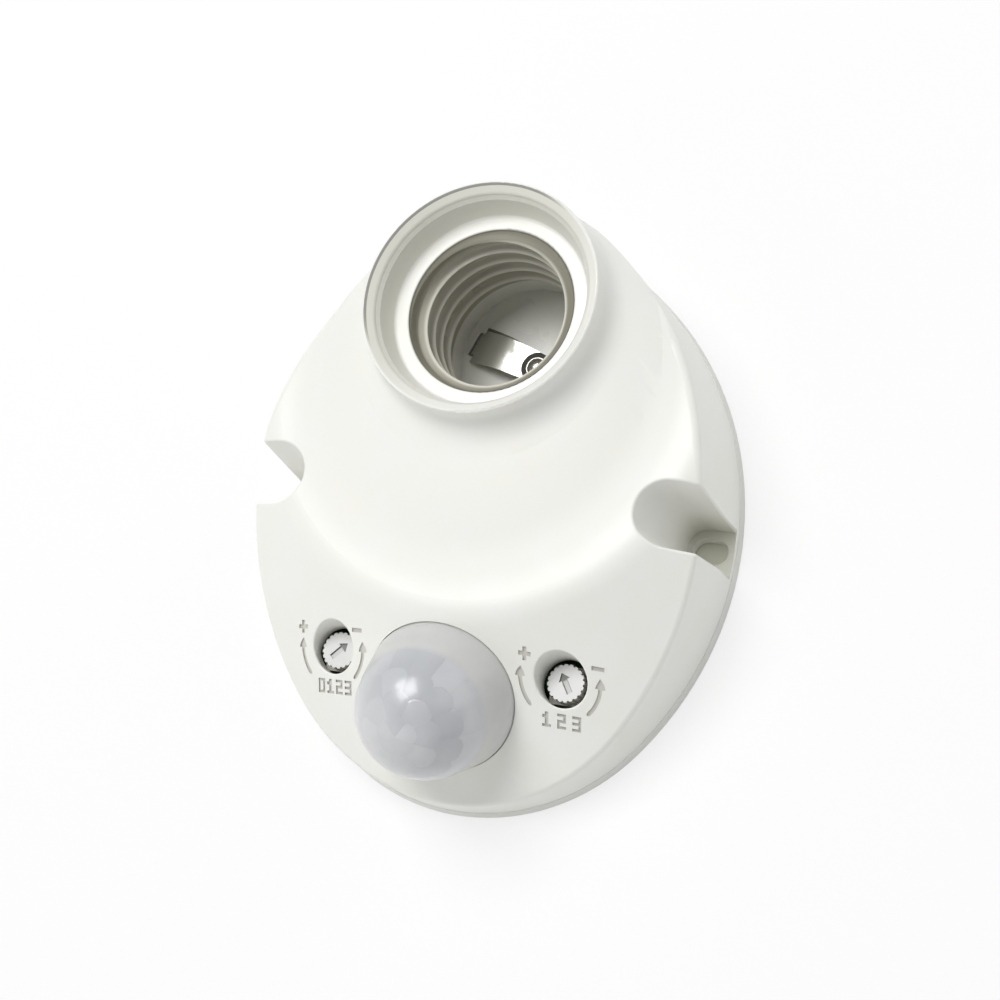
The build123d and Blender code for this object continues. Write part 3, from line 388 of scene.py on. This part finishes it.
# colours of the white moulding's painted shade and painted light
BORE_PAINTED_SHADE = (0.46, 0.445, 0.37)
BORE_FLOOR_PAINTED_SHADE = (0.84, 0.835, 0.79)
MOUTH_PAINTED_SHADE = (0.25, 0.24, 0.19)
CREST_PAINTED_LIGHT = (0.76, 0.745, 0.66)
RECESS_PAINTED_SHADE = (0.75, 0.742, 0.67)
BRINK_PAINTED_SHADE = (0.12, 0.115, 0.10)
NOTCH_PAINTED_SHADE = (0.52, 0.52, 0.43)
PETAL = (0.765, 0.80, 0.86)
PAINTED_LIGHT_PETAL = (0.95, 0.965, 0.98)
SKIRT = (0.83, 0.84, 0.82)
shell_white = shell_plastic()
engraved_white = moulded_plastic("engraved_white", (0.66, 0.655, 0.61), 0.5, 0.00001)
finishes = {
    "white_plastic": shell_white,
    "rotor_plastic": rotor_plastic(),
    "trimmer_plastic": moulded_plastic("trimmer_grey", (0.56, 0.54, 0.47), 0.5, 0.00002),
    "lens_plastic": lens_plastic(),
    "board": board_laminate(),
    "screw_steel": metal("zinc_plate", (0.62, 0.62, 0.63), 0.34, 0.000004),
    "contact_metal": contact_strip(),
    "rivet_metal": metal("rivet_bright", (0.86, 0.86, 0.84), 0.2, 0.000002),
    "sensor_can": metal("can_nickel", (0.62, 0.62, 0.62), 0.25, 0.000003),
    "dark_resin": moulded_plastic("resin_black", (0.018, 0.018, 0.02), 0.5, 0.00003),
    "relay_plastic": moulded_plastic("relay_blue", (0.02, 0.06, 0.26), 0.3, 0.00001, coat=0.3),
    "capacitor_sleeve": moulded_plastic("sleeve_dark", (0.012, 0.016, 0.045), 0.25, 0.00002, coat=0.4),
    "dropper_resin": moulded_plastic("resin_yellow", (0.46, 0.22, 0.015), 0.3, 0.00004, grain_scale=900.0),
    "brass": metal("turned_brass", (0.62, 0.44, 0.16), 0.3, 0.000004),
    "lead_brown": insulation("insulation_brown", (0.065, 0.022, 0.01)),
    "lead_blue": insulation("insulation_blue", (0.01, 0.035, 0.22)),
}
for part in frame["record"]["subparts"]:
    piece = nodes[part["node"]]
    piece.data.materials.clear()
    piece.data.materials.append(finishes[part["material_slot"]])


# Mesh helpers
def linked(name, data):
    """A new object with this data in the scene."""
    made = bpy.data.objects.new(name, data)
    bpy.context.scene.collection.objects.link(made)
    return made


def new_object(name, mesh, *finish):
    """A new object with this mesh and these finishes alone."""
    made = linked(name, mesh)
    mesh.materials.clear()
    for one in finish:
        mesh.materials.append(one)
    return made


def grid_mesh(name, rows, columns, point, keep=None, capped=False):
    """A tube of quads through point(row, column), in metres, its last column joined to the first."""
    mesh = bpy.data.meshes.new(name)
    points = [point(i, j) for i in range(rows) for j in range(columns)]
    faces = []
    for i in range(rows - 1):
        for j in range(columns):
            k = (j + 1) % columns
            if keep is None or keep(i, j):
                faces.append((i * columns + j, i * columns + k, (i + 1) * columns + k, (i + 1) * columns + j))
    if capped:
        faces.append(tuple(reversed(range(columns))))
        faces.append(tuple(range((rows - 1) * columns, rows * columns)))
    mesh.from_pydata(points, [], faces)
    mesh.validate()
    mesh.shade_smooth()
    return mesh


def eased(value, low, high):
    """0 below low, 1 above high, eased in between."""
    share = min(1.0, max(0.0, (value - low) / (high - low)))
    return share * share * (3 - 2 * share)


# Lamp thread: a rounded helical ridge standing on the bore's wall, left out over the side contact's window
window_angle = math.radians(-52)
window_half = math.radians(15)
window_top = 17.6
window_ease = 0.12
thread_columns = 240
thread_rows = 170
wall_overlap = 0.05
wall_gap = 0.02


def thread_height(i):
    """Height of one row of the thread, in millimetres."""
    return thread_bottom + (thread_top - thread_bottom) * i / (thread_rows - 1)


def bore_wall(height):
    """Radius of the bore's wall at this height, flared gently over the mouth."""
    if height < bore_step_height:
        return shell_radius + wall_overlap
    if height < bore_top:
        return bore_radius + wall_overlap
    return bore_radius - wall_gap + (mouth_radius - bore_radius) * (height - bore_top) / (thread_top - bore_top)


def thread_point(i, j):
    """A point on the bore's wall with the thread on it."""
    angle = 2 * math.pi * j / thread_columns
    height = thread_height(i)
    turn = (height - thread_level) / thread_pitch - (angle - thread_phase) / (2 * math.pi)
    wave = 0.5 + 0.5 * math.cos(2 * math.pi * turn)
    ends = eased(height, thread_bottom, thread_bottom + 1.4) * (1 - eased(height, thread_top - 1.0, thread_top - 0.2))
    away = abs(math.remainder(angle - window_angle, 2 * math.pi))
    beside = max(eased(away, window_half, window_half + window_ease), eased(height, window_top, window_top + 0.8))
    root = bore_wall(height)
    radius = root - (root - thread_crest) * wave**thread_sharpness * ends * beside
    return ((socket_x + radius * math.cos(angle)) * MM, (socket_y + radius * math.sin(angle)) * MM, height * MM)


def outside_window(i, j):
    """False in the side contact's window, where the thread is cut away."""
    away = abs(math.remainder(2 * math.pi * j / thread_columns - window_angle, 2 * math.pi))
    return away > window_half or thread_height(i) > window_top


thread_mesh = grid_mesh("lamp_thread", thread_rows, thread_columns, thread_point, outside_window)
thread_mesh.flip_normals()
thread = new_object("lamp_thread", thread_mesh, shell_white)
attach(thread, "base")


# Engraved marks round the adjusting wells
housing_mesh = nodes["housing"].data
housing_tree = BVHTree.FromPolygons(
    [vertex.co for vertex in housing_mesh.vertices], [tuple(polygon.vertices) for polygon in housing_mesh.polygons]
)
mark_depth = 0.36
mark_over = 0.5
stroke = 0.6
sign_half = 0.95
sign_steps = (-sign_half, -stroke / 2, stroke / 2, sign_half)
digit_stroke = 0.4
digit_height = 2.15
digit_width = 1.35
digit_drop = 6.95
digit_shift = 0.25
wide_digit_gap = 0.95
close_digit_gap = 0.42
# the turning arrows at each well: radius, then the angles of tail and tip in degrees
turn_arrows = ((6.2, 224.0, 171.0), (5.95, -47.0, 10.5))
arrow_steps = 16
arrow_neck = 12
arrow_barb = 0.2
arrow_tail_width = 0.3
arrow_head_widths = [1.55, 1.1, 0.6, 0.08]


def face_height(x, y):
    """Height of the moulding's outer face over this point, in millimetres."""
    hit = housing_tree.ray_cast(Vector((x, y, 60.0)) * MM, Vector((0, 0, -1)))
    return hit[0].z / MM


class Cutters:
    """Closed forms that follow the face and cut the marks into it."""

    def __init__(self):
        self.points = []
        self.faces = []

    def strip(self, left, right):
        """A groove between two rows of points."""
        start = len(self.points)
        for (left_x, left_y), (right_x, right_y) in zip(left, right):
            for x, y in ((left_x, left_y), (right_x, right_y)):
                level = face_height(x, y)
                self.points.append((x * MM, y * MM, (level - mark_depth) * MM))
                self.points.append((x * MM, y * MM, (level + mark_over) * MM))
        last = start + 4 * (len(left) - 1)
        for a in range(start, last, 4):
            b = a + 4
            self.faces.append((a, b, b + 2, a + 2))
            self.faces.append((a + 1, a + 3, b + 3, b + 1))
            self.faces.append((a, a + 1, b + 1, b))
            self.faces.append((a + 2, b + 2, b + 3, a + 3))
        self.faces.append((start, start + 2, start + 3, start + 1))
        self.faces.append((last, last + 1, last + 3, last + 2))

    def line(self, path, widths):
        """A stroke along a path with a width at each point."""
        left, right = [], []
        for i, (x, y) in enumerate(path):
            before = path[max(i - 1, 0)]
            after = path[min(i + 1, len(path) - 1)]
            run_x, run_y = after[0] - before[0], after[1] - before[1]
            length = math.hypot(run_x, run_y)
            side_x, side_y = -run_y / length * widths[i] / 2, run_x / length * widths[i] / 2
            left.append((x + side_x, y + side_y))
            right.append((x - side_x, y - side_y))
        self.strip(left, right)

    def cells(self, xs, ys, rows):
        """A block sign on a grid: rows of text from the top down, with # where a cell is cut."""
        filled = {(i, len(rows) - 1 - k) for k, row in enumerate(rows) for i, mark in enumerate(row) if mark == "#"}
        numbers = {}

        def corner(i, j):
            """The lower point of this grid corner; the upper one follows it."""
            if (i, j) not in numbers:
                numbers[i, j] = len(self.points)
                level = face_height(xs[i], ys[j])
                self.points.append((xs[i] * MM, ys[j] * MM, (level - mark_depth) * MM))
                self.points.append((xs[i] * MM, ys[j] * MM, (level + mark_over) * MM))
            return numbers[i, j]

        for i, j in sorted(filled):
            around = [corner(i, j), corner(i + 1, j), corner(i + 1, j + 1), corner(i, j + 1)]
            self.faces.append(tuple(reversed(around)))
            self.faces.append(tuple(k + 1 for k in around))
            for side, beside in enumerate(((i, j - 1), (i + 1, j), (i, j + 1), (i - 1, j))):
                if beside not in filled:
                    a, b = around[side], around[(side + 1) % 4]
                    self.faces.append((a, b, b + 1, a + 1))


def arc_path(x, y, radius, angles):
    """Points on an arc at these angles, in degrees."""
    turns = [math.radians(angle) for angle in angles]
    return [(x + radius * math.cos(turn), y + radius * math.sin(turn)) for turn in turns]


# plain block numerals, three cells wide and five high
NUMERALS = {
    0: ("###", "# #", "# #", "# #", "###"),
    1: (" # ", "## ", " # ", " # ", "###"),
    2: ("###", "  #", "###", "#  ", "###"),
    3: ("###", "  #", "###", "  #", "###"),
}


def dial_marks(cutters, x, left_sign, right_sign, digits):
    """Signs, turning arrows and numerals round one well."""
    for sign, sign_x, sign_y in (left_sign, right_sign):
        xs, ys = ([middle + step for step in sign_steps] for middle in (x + sign_x, trimmer_y + sign_y))
        if sign == "plus":
            cutters.cells(xs, ys, (" # ", "###", " # "))
        else:
            cutters.cells([xs[0], xs[3]], [ys[1], ys[2]], ("#",))
    for radius, start, end in turn_arrows:
        steps = [i / arrow_steps for i in range(arrow_steps + 1)]
        steps[arrow_neck + 1] = (arrow_neck + arrow_barb) / arrow_steps
        path = arc_path(x, trimmer_y, radius, [start + (end - start) * step for step in steps])
        cutters.line(path, [arrow_tail_width] + [stroke] * arrow_neck + arrow_head_widths)
    gap = digit_width + (wide_digit_gap if len(digits) < 4 else close_digit_gap)
    left = x + digit_shift - gap * (len(digits) - 1) / 2 - digit_width / 2
    bottom = trimmer_y - digit_drop
    middle = (digit_height - digit_stroke) / 2
    ys = [bottom, bottom + digit_stroke, bottom + middle, bottom + middle + digit_stroke]
    ys += [bottom + digit_height - digit_stroke, bottom + digit_height]
    for place, digit in enumerate(digits):
        edge = left + place * gap
        xs = [edge, edge + digit_stroke, edge + digit_width - digit_stroke, edge + digit_width]
        cutters.cells(xs, ys, NUMERALS[digit])


def engrave(blank_mesh, cutters, *finish):
    """A copy of a mesh with the cutters taken away; the cut faces carry the second finish."""
    cutter_mesh = bpy.data.meshes.new("cutters")
    cutter_mesh.from_pydata(cutters.points, [], cutters.faces)
    cutter = new_object("cutters", cutter_mesh, finish[1])
    blank = new_object("blank", blank_mesh, finish[0])
    cut = blank.modifiers.new("marks", "BOOLEAN")
    cut.operation = "DIFFERENCE"
    cut.solver = "EXACT"
    cut.material_mode = "TRANSFER"
    cut.object = cutter
    mesh = bpy.data.meshes.new_from_object(blank.evaluated_get(bpy.context.evaluated_depsgraph_get()))
    for spare in (blank, cutter):
        bpy.data.objects.remove(spare)
    return mesh


class Shading:
    """The shading normals of a CAD mesh, to be read at any point of its faces."""

    def __init__(self, mesh):
        mesh.calc_loop_triangles()
        self.corners = [vertex.co.copy() for vertex in mesh.vertices]
        self.triangles = [tuple(triangle.vertices) for triangle in mesh.loop_triangles]
        self.loops = [tuple(triangle.loops) for triangle in mesh.loop_triangles]
        self.normals = [Vector(normal.vector) for normal in mesh.corner_normals]
        self.tree = BVHTree.FromPolygons(self.corners, self.triangles)

    def own_triangle(self, middle, normal):
        """The triangle that a face was cut from, or None for a face that is new."""
        _, found_normal, found, gap = self.tree.find_nearest(middle)
        return found if gap < close_by and found_normal.dot(normal) > 0.98 else None

    def at(self, point, found):
        """The shading normal at a point of this triangle."""
        a, b, c = (self.corners[k] for k in self.triangles[found])
        normals = [self.normals[k] for k in self.loops[found]]
        whole = (b - a).cross(c - a)
        size = whole.length_squared
        share_b = (point - a).cross(c - a).dot(whole) / size
        share_c = (b - a).cross(point - a).dot(whole) / size
        return (normals[0] * (1 - share_b - share_c) + normals[1] * share_b + normals[2] * share_c).normalized()


def restore_shading(mesh, shading, adjust=None):
    """Give a cut mesh the CAD model's own shading normals; adjust() may turn one."""
    normals = [None] * len(mesh.loops)
    for polygon in mesh.polygons:
        polygon.use_smooth = True
        found = shading.own_triangle(polygon.center, polygon.normal)
        for k in polygon.loop_indices:
            vertex = mesh.vertices[mesh.loops[k].vertex_index].co
            normal = Vector(polygon.normal) if found is None else shading.at(vertex, found)
            normals[k] = adjust(polygon, vertex, normal, found is None) if adjust else normal
    mesh.normals_split_custom_set(normals)


# Housing: the marks cut in, the rim's land falling inward and the hump's foot softened into the terrace
def foot_distance(point):
    """Distance in plan from the circle where the hump meets the terrace, in millimetres."""
    return math.hypot(point.x / MM, point.y / MM - hump_foot_y) - hump_foot_radius


def cone_normal(point):
    """Direction out of the leaning cone that the hump starts as."""
    turn = math.atan2(point.y / MM - hump_foot_y, point.x / MM)
    lean = hump_run - hump_lean * math.sin(turn)
    return Vector((hump_rise * math.cos(turn), hump_rise * math.sin(turn), lean)).normalized()


def softened(polygon, vertex, normal, fresh):
    """Shading of the housing where it differs from the CAD model's."""
    height = polygon.center.z / MM
    from_socket = math.hypot(polygon.center.x / MM - socket_x, polygon.center.y / MM - socket_y)
    if fresh and height > rim_land_bottom and from_socket < rim_edge_radius + 0.4:
        before = math.atan2(polygon.center.y - socket_y * MM, polygon.center.x - socket_x * MM)
        after = math.atan2(vertex.y - socket_y * MM, vertex.x - socket_x * MM)
        return Matrix.Rotation(after - before, 3, "Z") @ polygon.normal
    if height < lip_top and 0.3 < polygon.normal.z < 0.46 and not fresh:
        return Vector((normal.x, normal.y, lip_tilt)).normalized()
    if terrace_height - 0.01 < height < foot_soft_top and not fresh and normal.z > 0.5:
        up = Vector((0, 0, 1))
        steep = cone_normal(vertex)
        if max(normal.dot(up), normal.dot(steep)) > 0.999 and steep.z > 0.7:
            reach = foot_soft_outside if foot_distance(vertex) > 0 else foot_soft_inside
            weight = 1 - eased(abs(foot_distance(vertex)), 0.0, reach)
            return normal.lerp((up + steep).normalized(), weight).normalized()
    return normal


close_by = 0.004 * MM
foot_soft_outside = 4.5
foot_soft_inside = 6.0
foot_soft_top = 28.0
foot_cuts = 5
rim_land_bottom = 32.5
lip_top = 1.25
lip_tilt = 0.07
form = bmesh.new()
form.from_mesh(housing_mesh)
for vertex in form.verts:
    from_socket = math.hypot(vertex.co.x / MM - socket_x, vertex.co.y / MM - socket_y)
    if vertex.co.z / MM > rim_band_bottom and from_socket < rim_edge_radius:
        vertex.co.z -= rim_fall * MM * (rim_edge_radius - from_socket) / (rim_edge_radius - rim_inner_radius)
foot_faces = []
for face in form.faces:
    middle = face.calc_center_median()
    level = abs(middle.z / MM - terrace_height) < 0.01 and face.normal.z > 0.99
    if level or (middle.z / MM > terrace_height and face.normal.dot(cone_normal(middle)) > 0.999):
        foot_faces.append(face)
foot_edges = list({edge for face in foot_faces for edge in face.edges})
bmesh.ops.subdivide_edges(form, edges=foot_edges, cuts=foot_cuts, use_grid_fill=True)
bmesh.ops.triangulate(form, faces=[face for face in form.faces if len(face.verts) > 4])
blank_mesh = bpy.data.meshes.new("marked_housing_blank")
form.to_mesh(blank_mesh)
form.free()

marks = Cutters()
dial_marks(marks, -trimmer_x, ("plus", -6.1, 2.65), ("minus", 4.9, 2.7), (0, 1, 2, 3))
dial_marks(marks, trimmer_x, ("plus", -5.5, 2.75), ("minus", 5.5, 2.45), (1, 2, 3))
marked_mesh = engrave(blank_mesh, marks, shell_white, engraved_white)
housing_shading = Shading(housing_mesh)
restore_shading(marked_mesh, housing_shading, softened)
marked_housing = linked("marked_housing", marked_mesh)
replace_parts(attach(marked_housing, "base"), "housing")


# Rotors: an arrow-shaped slot in the face of each
slot_width = 0.95
slot_length = 3.5
slot_depth = 0.3
arrow_width = 1.9
arrow_length = 1.2


def slot_plastic(x, direction):
    """The slot's floor: pale along the shaft, with painted shade at the arrow's head and along the walls."""
    made, start, shader = material("rotor_slot", Roughness=0.5, IOR=1.5)
    place_x, place_y, z = places(start)
    turn = math.radians(direction)
    away_x, away_y = place_x - x, place_y - trimmer_y
    along = away_y * math.cos(turn) - away_x * math.sin(turn)
    across = away_x * math.cos(turn) + away_y * math.sin(turn)
    neck = slot_length / 2 - arrow_length
    # painted shade at the arrow's head and along the slot's walls
    head = along.smooth(neck - 0.25, neck + 0.1)
    walls = (across * across).smooth((slot_width / 2 - 0.2) ** 2, (slot_width / 2 - 0.08) ** 2)
    dark = head.math("MAXIMUM", head, walls)
    feed(shader, "Base Color", mix_colours(dark, (0.62, 0.615, 0.60, 1), (0.22, 0.215, 0.20, 1)))
    return made


def rotor_cutters(x, direction):
    """The form that cuts the arrow, pointing this many degrees anticlockwise from the lamp end."""
    turn = Matrix.Rotation(math.radians(direction), 2)
    half, tail, neck = slot_width / 2, -slot_length / 2, slot_length / 2 - arrow_length
    outline = [(-half, tail), (half, tail), (half, neck), (arrow_width / 2, neck), (0, slot_length / 2)]
    outline += [(-arrow_width / 2, neck), (-half, neck)]
    cutters = Cutters()
    count = len(outline)
    for corner in outline:
        place = turn @ Vector(corner)
        for level in (rotor_top - slot_depth, rotor_top + mark_over):
            cutters.points.append(((x + place.x) * MM, (trimmer_y + place.y) * MM, level * MM))
    for i in range(count):
        a, b = 2 * i, 2 * ((i + 1) % count)
        cutters.faces.append((a, b, b + 1, a + 1))
    cutters.faces.append(tuple(2 * i for i in reversed(range(count))))
    cutters.faces.append(tuple(2 * i + 1 for i in range(count)))
    return cutters


for dial, x, direction in (("time", -trimmer_x, -42.6), ("lux", trimmer_x, 32.5)):
    node = f"{dial}_trimmer_rotor"
    source = nodes[node].data
    arrow = rotor_cutters(x, direction)
    slotted = engrave(source.copy(), arrow, finishes["rotor_plastic"], slot_plastic(x, direction))
    restore_shading(slotted, Shading(source))
    rotor = linked(f"{dial}_rotor_slotted", slotted)
    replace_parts(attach(rotor, f"{dial}_dial"), node)


# Lens: a hollow dome with rings of small lenses standing on its crown
lens_base_radius = 12.4
lens_skirt_height = 5.0
lens_dome_radius = 11.0
lens_wall = 0.8
lens_flange_radius = 14.1
flange_top = -3.0
flange_bottom = -4.0
lens_columns = 320
lens_rows_outside = 96
lens_rows_inside = 24
# each ring of small lenses: where its outer edge dips and peaks (degrees from the pole), how many, first turn,
# how far it stands up and how much each lens bulges (millimetres)
lens_rings = (
    (13.0, 18.0, 5, 20.0, 0.30, 0.03),
    (30.0, 37.0, 8, 5.0, 0.25, 0.05),
    (49.0, 57.0, 12, 12.0, 0.20, 0.06),
    (76.5, 84.0, 16, 8.7, 0.15, 0.07),
)
edge_ease = 1.1


def lens_relief(polar, turn):
    """Height of the small lenses here in millimetres, their tone and whether the cap reaches this far."""
    inner_edge = 0.0
    for number, (dip, peak, count, first, stand, bulge) in enumerate(lens_rings):
        place = (turn - first) / (360.0 / count) + 0.5
        across = 2 * (place - math.floor(place)) - 1
        edge = dip + (peak - dip) * math.sqrt(max(0.0, 1 - across * across))
        if polar < edge or number == len(lens_rings) - 1:
            along = min(1.0, max(-1.0, 2 * (polar - inner_edge) / (edge - inner_edge) - 1))
            bulged = bulge * (1 - across * across) * (1 - along * along)
            drop = eased(polar, edge - edge_ease, edge)
            below = lens_rings[number + 1][4] if number < len(lens_rings) - 1 else 0.0
            height = below + (stand - below + bulged) * (1 - drop)
            seed = math.sin((number * 31 + math.floor(place) % count + 1) * 12.9898) * 43758.5453
            cap = 1 - drop if number == len(lens_rings) - 1 else 1.0
            return height, seed - math.floor(seed), cap
        inner_edge = dip
    return 0.0, 0.5, 0.0


def dome_rows(base, dome, bottom, steps):
    """Radius and height of rows up a dome's side to its crown, with the angle from the pole on the round part."""
    to_base = math.atan2(-lens_skirt_height, base)
    angle = to_base + math.acos(dome / math.hypot(base, lens_skirt_height))
    tangent = (dome * math.cos(angle), lens_skirt_height + dome * math.sin(angle))
    rows = [(base, bottom, None), (base, -0.02, None), (base, 0.0, None)]
    rows += [(base + (tangent[0] - base) * i / 6, tangent[1] * i / 6, None) for i in range(1, 6)]
    last = math.radians(89.6)
    for i in range(steps):
        turn = angle + (last - angle) * i / (steps - 1)
        rows.append((dome * math.cos(turn), lens_skirt_height + dome * math.sin(turn), 90 - math.degrees(turn)))
    return rows


rows_inside = dome_rows(lens_base_radius - lens_wall, lens_dome_radius - lens_wall, flange_bottom, lens_rows_inside)
rows_outside = dome_rows(lens_base_radius, lens_dome_radius, flange_top, lens_rows_outside)
lens_profile = [(radius, height, None) for radius, height, polar in reversed(rows_inside)]
lens_profile += [(lens_base_radius, flange_bottom, None), (lens_flange_radius, flange_bottom, None)]
lens_profile += [(lens_flange_radius, flange_top, None)]
lens_profile += rows_outside
lens_cap_lift = 0.28
tones, caps = [], []


def lens_point(i, j):
    """A point of the lens, its tone and its share of the cap kept aside."""
    radius, height, polar = lens_profile[i]
    turn = 2 * math.pi * j / lens_columns
    tone, cap = 0.5, 0.0
    if polar is not None:
        relief, tone, cap = lens_relief(polar, math.degrees(turn))
        grown = 1 + (relief - lens_cap_lift * (1 - eased(polar, 84.0, 86.0))) / lens_dome_radius
        radius *= grown
        height = lens_skirt_height + (height - lens_skirt_height) * grown
    tones.append(tone)
    caps.append(cap)
    sideways = lens_across * math.cos(turn) + lens_along * math.sin(turn)
    return (lens_centre + lens_axis * height + sideways * radius) * MM


lens_mesh = grid_mesh("faceted_lens", len(lens_profile), lens_columns, lens_point, capped=True)
for attribute_name, values in (("lens_tone", tones), ("lens_cap", caps)):
    layer = lens_mesh.attributes.new(attribute_name, "FLOAT", "POINT")
    layer.data.foreach_set("value", values)
lens = new_object("faceted_lens", lens_mesh, finishes["lens_plastic"])
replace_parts(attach(lens, "base"), "lens_dome")

# Floor, light and camera
FLOOR_HALF = 3.0
hidden_floor_radius = 38.9
hidden_floor_y = -2.1


def stage_white():
    """Pale floor that the camera sees as white, with the object's shadow kept; under the object plain and dull, with
    painted shade.
    """
    made, start, shader = material("stage_white", Roughness=0.9)
    x, y, z = places(start)
    around = distance_from(x, y, 0.0, hidden_floor_y).smooth(hidden_floor_radius - 0.2, hidden_floor_radius)
    # painted shade: the floor under the object darker and yellower
    feed(shader, "Base Color", mix_colours(around, (0.80, 0.80, 0.70, 1), (0.93, 0.93, 0.93, 1)))
    camera_ray = start.make("ShaderNodeLightPath", output="Is Camera Ray")
    glossy_ray = start.make("ShaderNodeLightPath", output="Is Glossy Ray")
    white = start.make("ShaderNodeEmission", {}, {"Color": (1, 1, 1, 1), "Strength": 1.0})
    seen = start.math("MAXIMUM", camera_ray, glossy_ray) * 0.72 * around
    both = start.make("ShaderNodeMixShader", {}, {0: seen, 1: Field(start.tree, shader.outputs[0]), 2: white})
    start.tree.links.new(both.socket, start.tree.nodes["Material Output"].inputs["Surface"])
    return made


floor_level = -0.2 * MM
floor_signs = ((-1, -1), (1, -1), (1, 1), (-1, 1))
floor_corners = [(x * FLOOR_HALF, y * FLOOR_HALF, floor_level) for x, y in floor_signs]
floor_mesh = bpy.data.meshes.new("floor")
floor_mesh.from_pydata(floor_corners, [], [(0, 1, 2, 3)])
new_object("floor", floor_mesh, stage_white())

WORLD_LIGHT = 0.21
world = bpy.data.worlds.new("studio")
world.use_nodes = True
bpy.context.scene.world = world
sky = Field(world.node_tree)
background = world.node_tree.nodes["Background"]
background.inputs["Color"].default_value = (1.0, 1.0, 1.0, 1)
camera_ray = sky.make("ShaderNodeLightPath", output="Is Camera Ray")
world.node_tree.links.new((WORLD_LIGHT + (1 - WORLD_LIGHT) * camera_ray).socket, background.inputs["Strength"])


LAMP_DISTANCE = 0.8


def soft_light(name, elevation, direction, size, power):
    """A square lamp that faces the object from this elevation and direction, in degrees."""
    rise, turn = math.radians(elevation), math.radians(direction)
    towards = Vector((math.cos(rise) * math.cos(turn), math.cos(rise) * math.sin(turn), math.sin(rise)))
    lamp = bpy.data.lights.new(name, "AREA")
    lamp.shape = "SQUARE"
    lamp.size = size
    lamp.energy = power
    made = linked(name, lamp)
    made.location = Vector((0, 0, 15)) * MM + towards * LAMP_DISTANCE
    made.rotation_euler = (-towards).to_track_quat("-Z", "Y").to_euler()


soft_light("key", 68, 128, 0.42, 4.6)
soft_light("low_front", 22, 268, 0.8, 1.5)
soft_light("low_left", 20, 212, 0.9, 1.5)
soft_light("low_back", 24, 30, 0.8, 1.8)

camera_place = Vector((103.335, -66.879, 266.898)) * MM
camera_right = Vector((0.92771, 0.19409, -0.31888))
camera_up = Vector((-0.09934, 0.95177, 0.29030))
camera_forward = Vector((-0.35985, 0.23763, -0.90224))
camera_data = bpy.data.cameras.new("camera")
camera_data.sensor_width = 36.0
camera_data.lens = 62.244
camera_data.clip_start = 0.01
camera = linked("camera", camera_data)
turn = Matrix((camera_right, camera_up, -camera_forward)).transposed()
camera.matrix_world = Matrix.Translation(camera_place) @ turn.to_4x4()
bpy.context.scene.camera = camera
bpy.context.scene.view_settings.view_transform = "Standard"
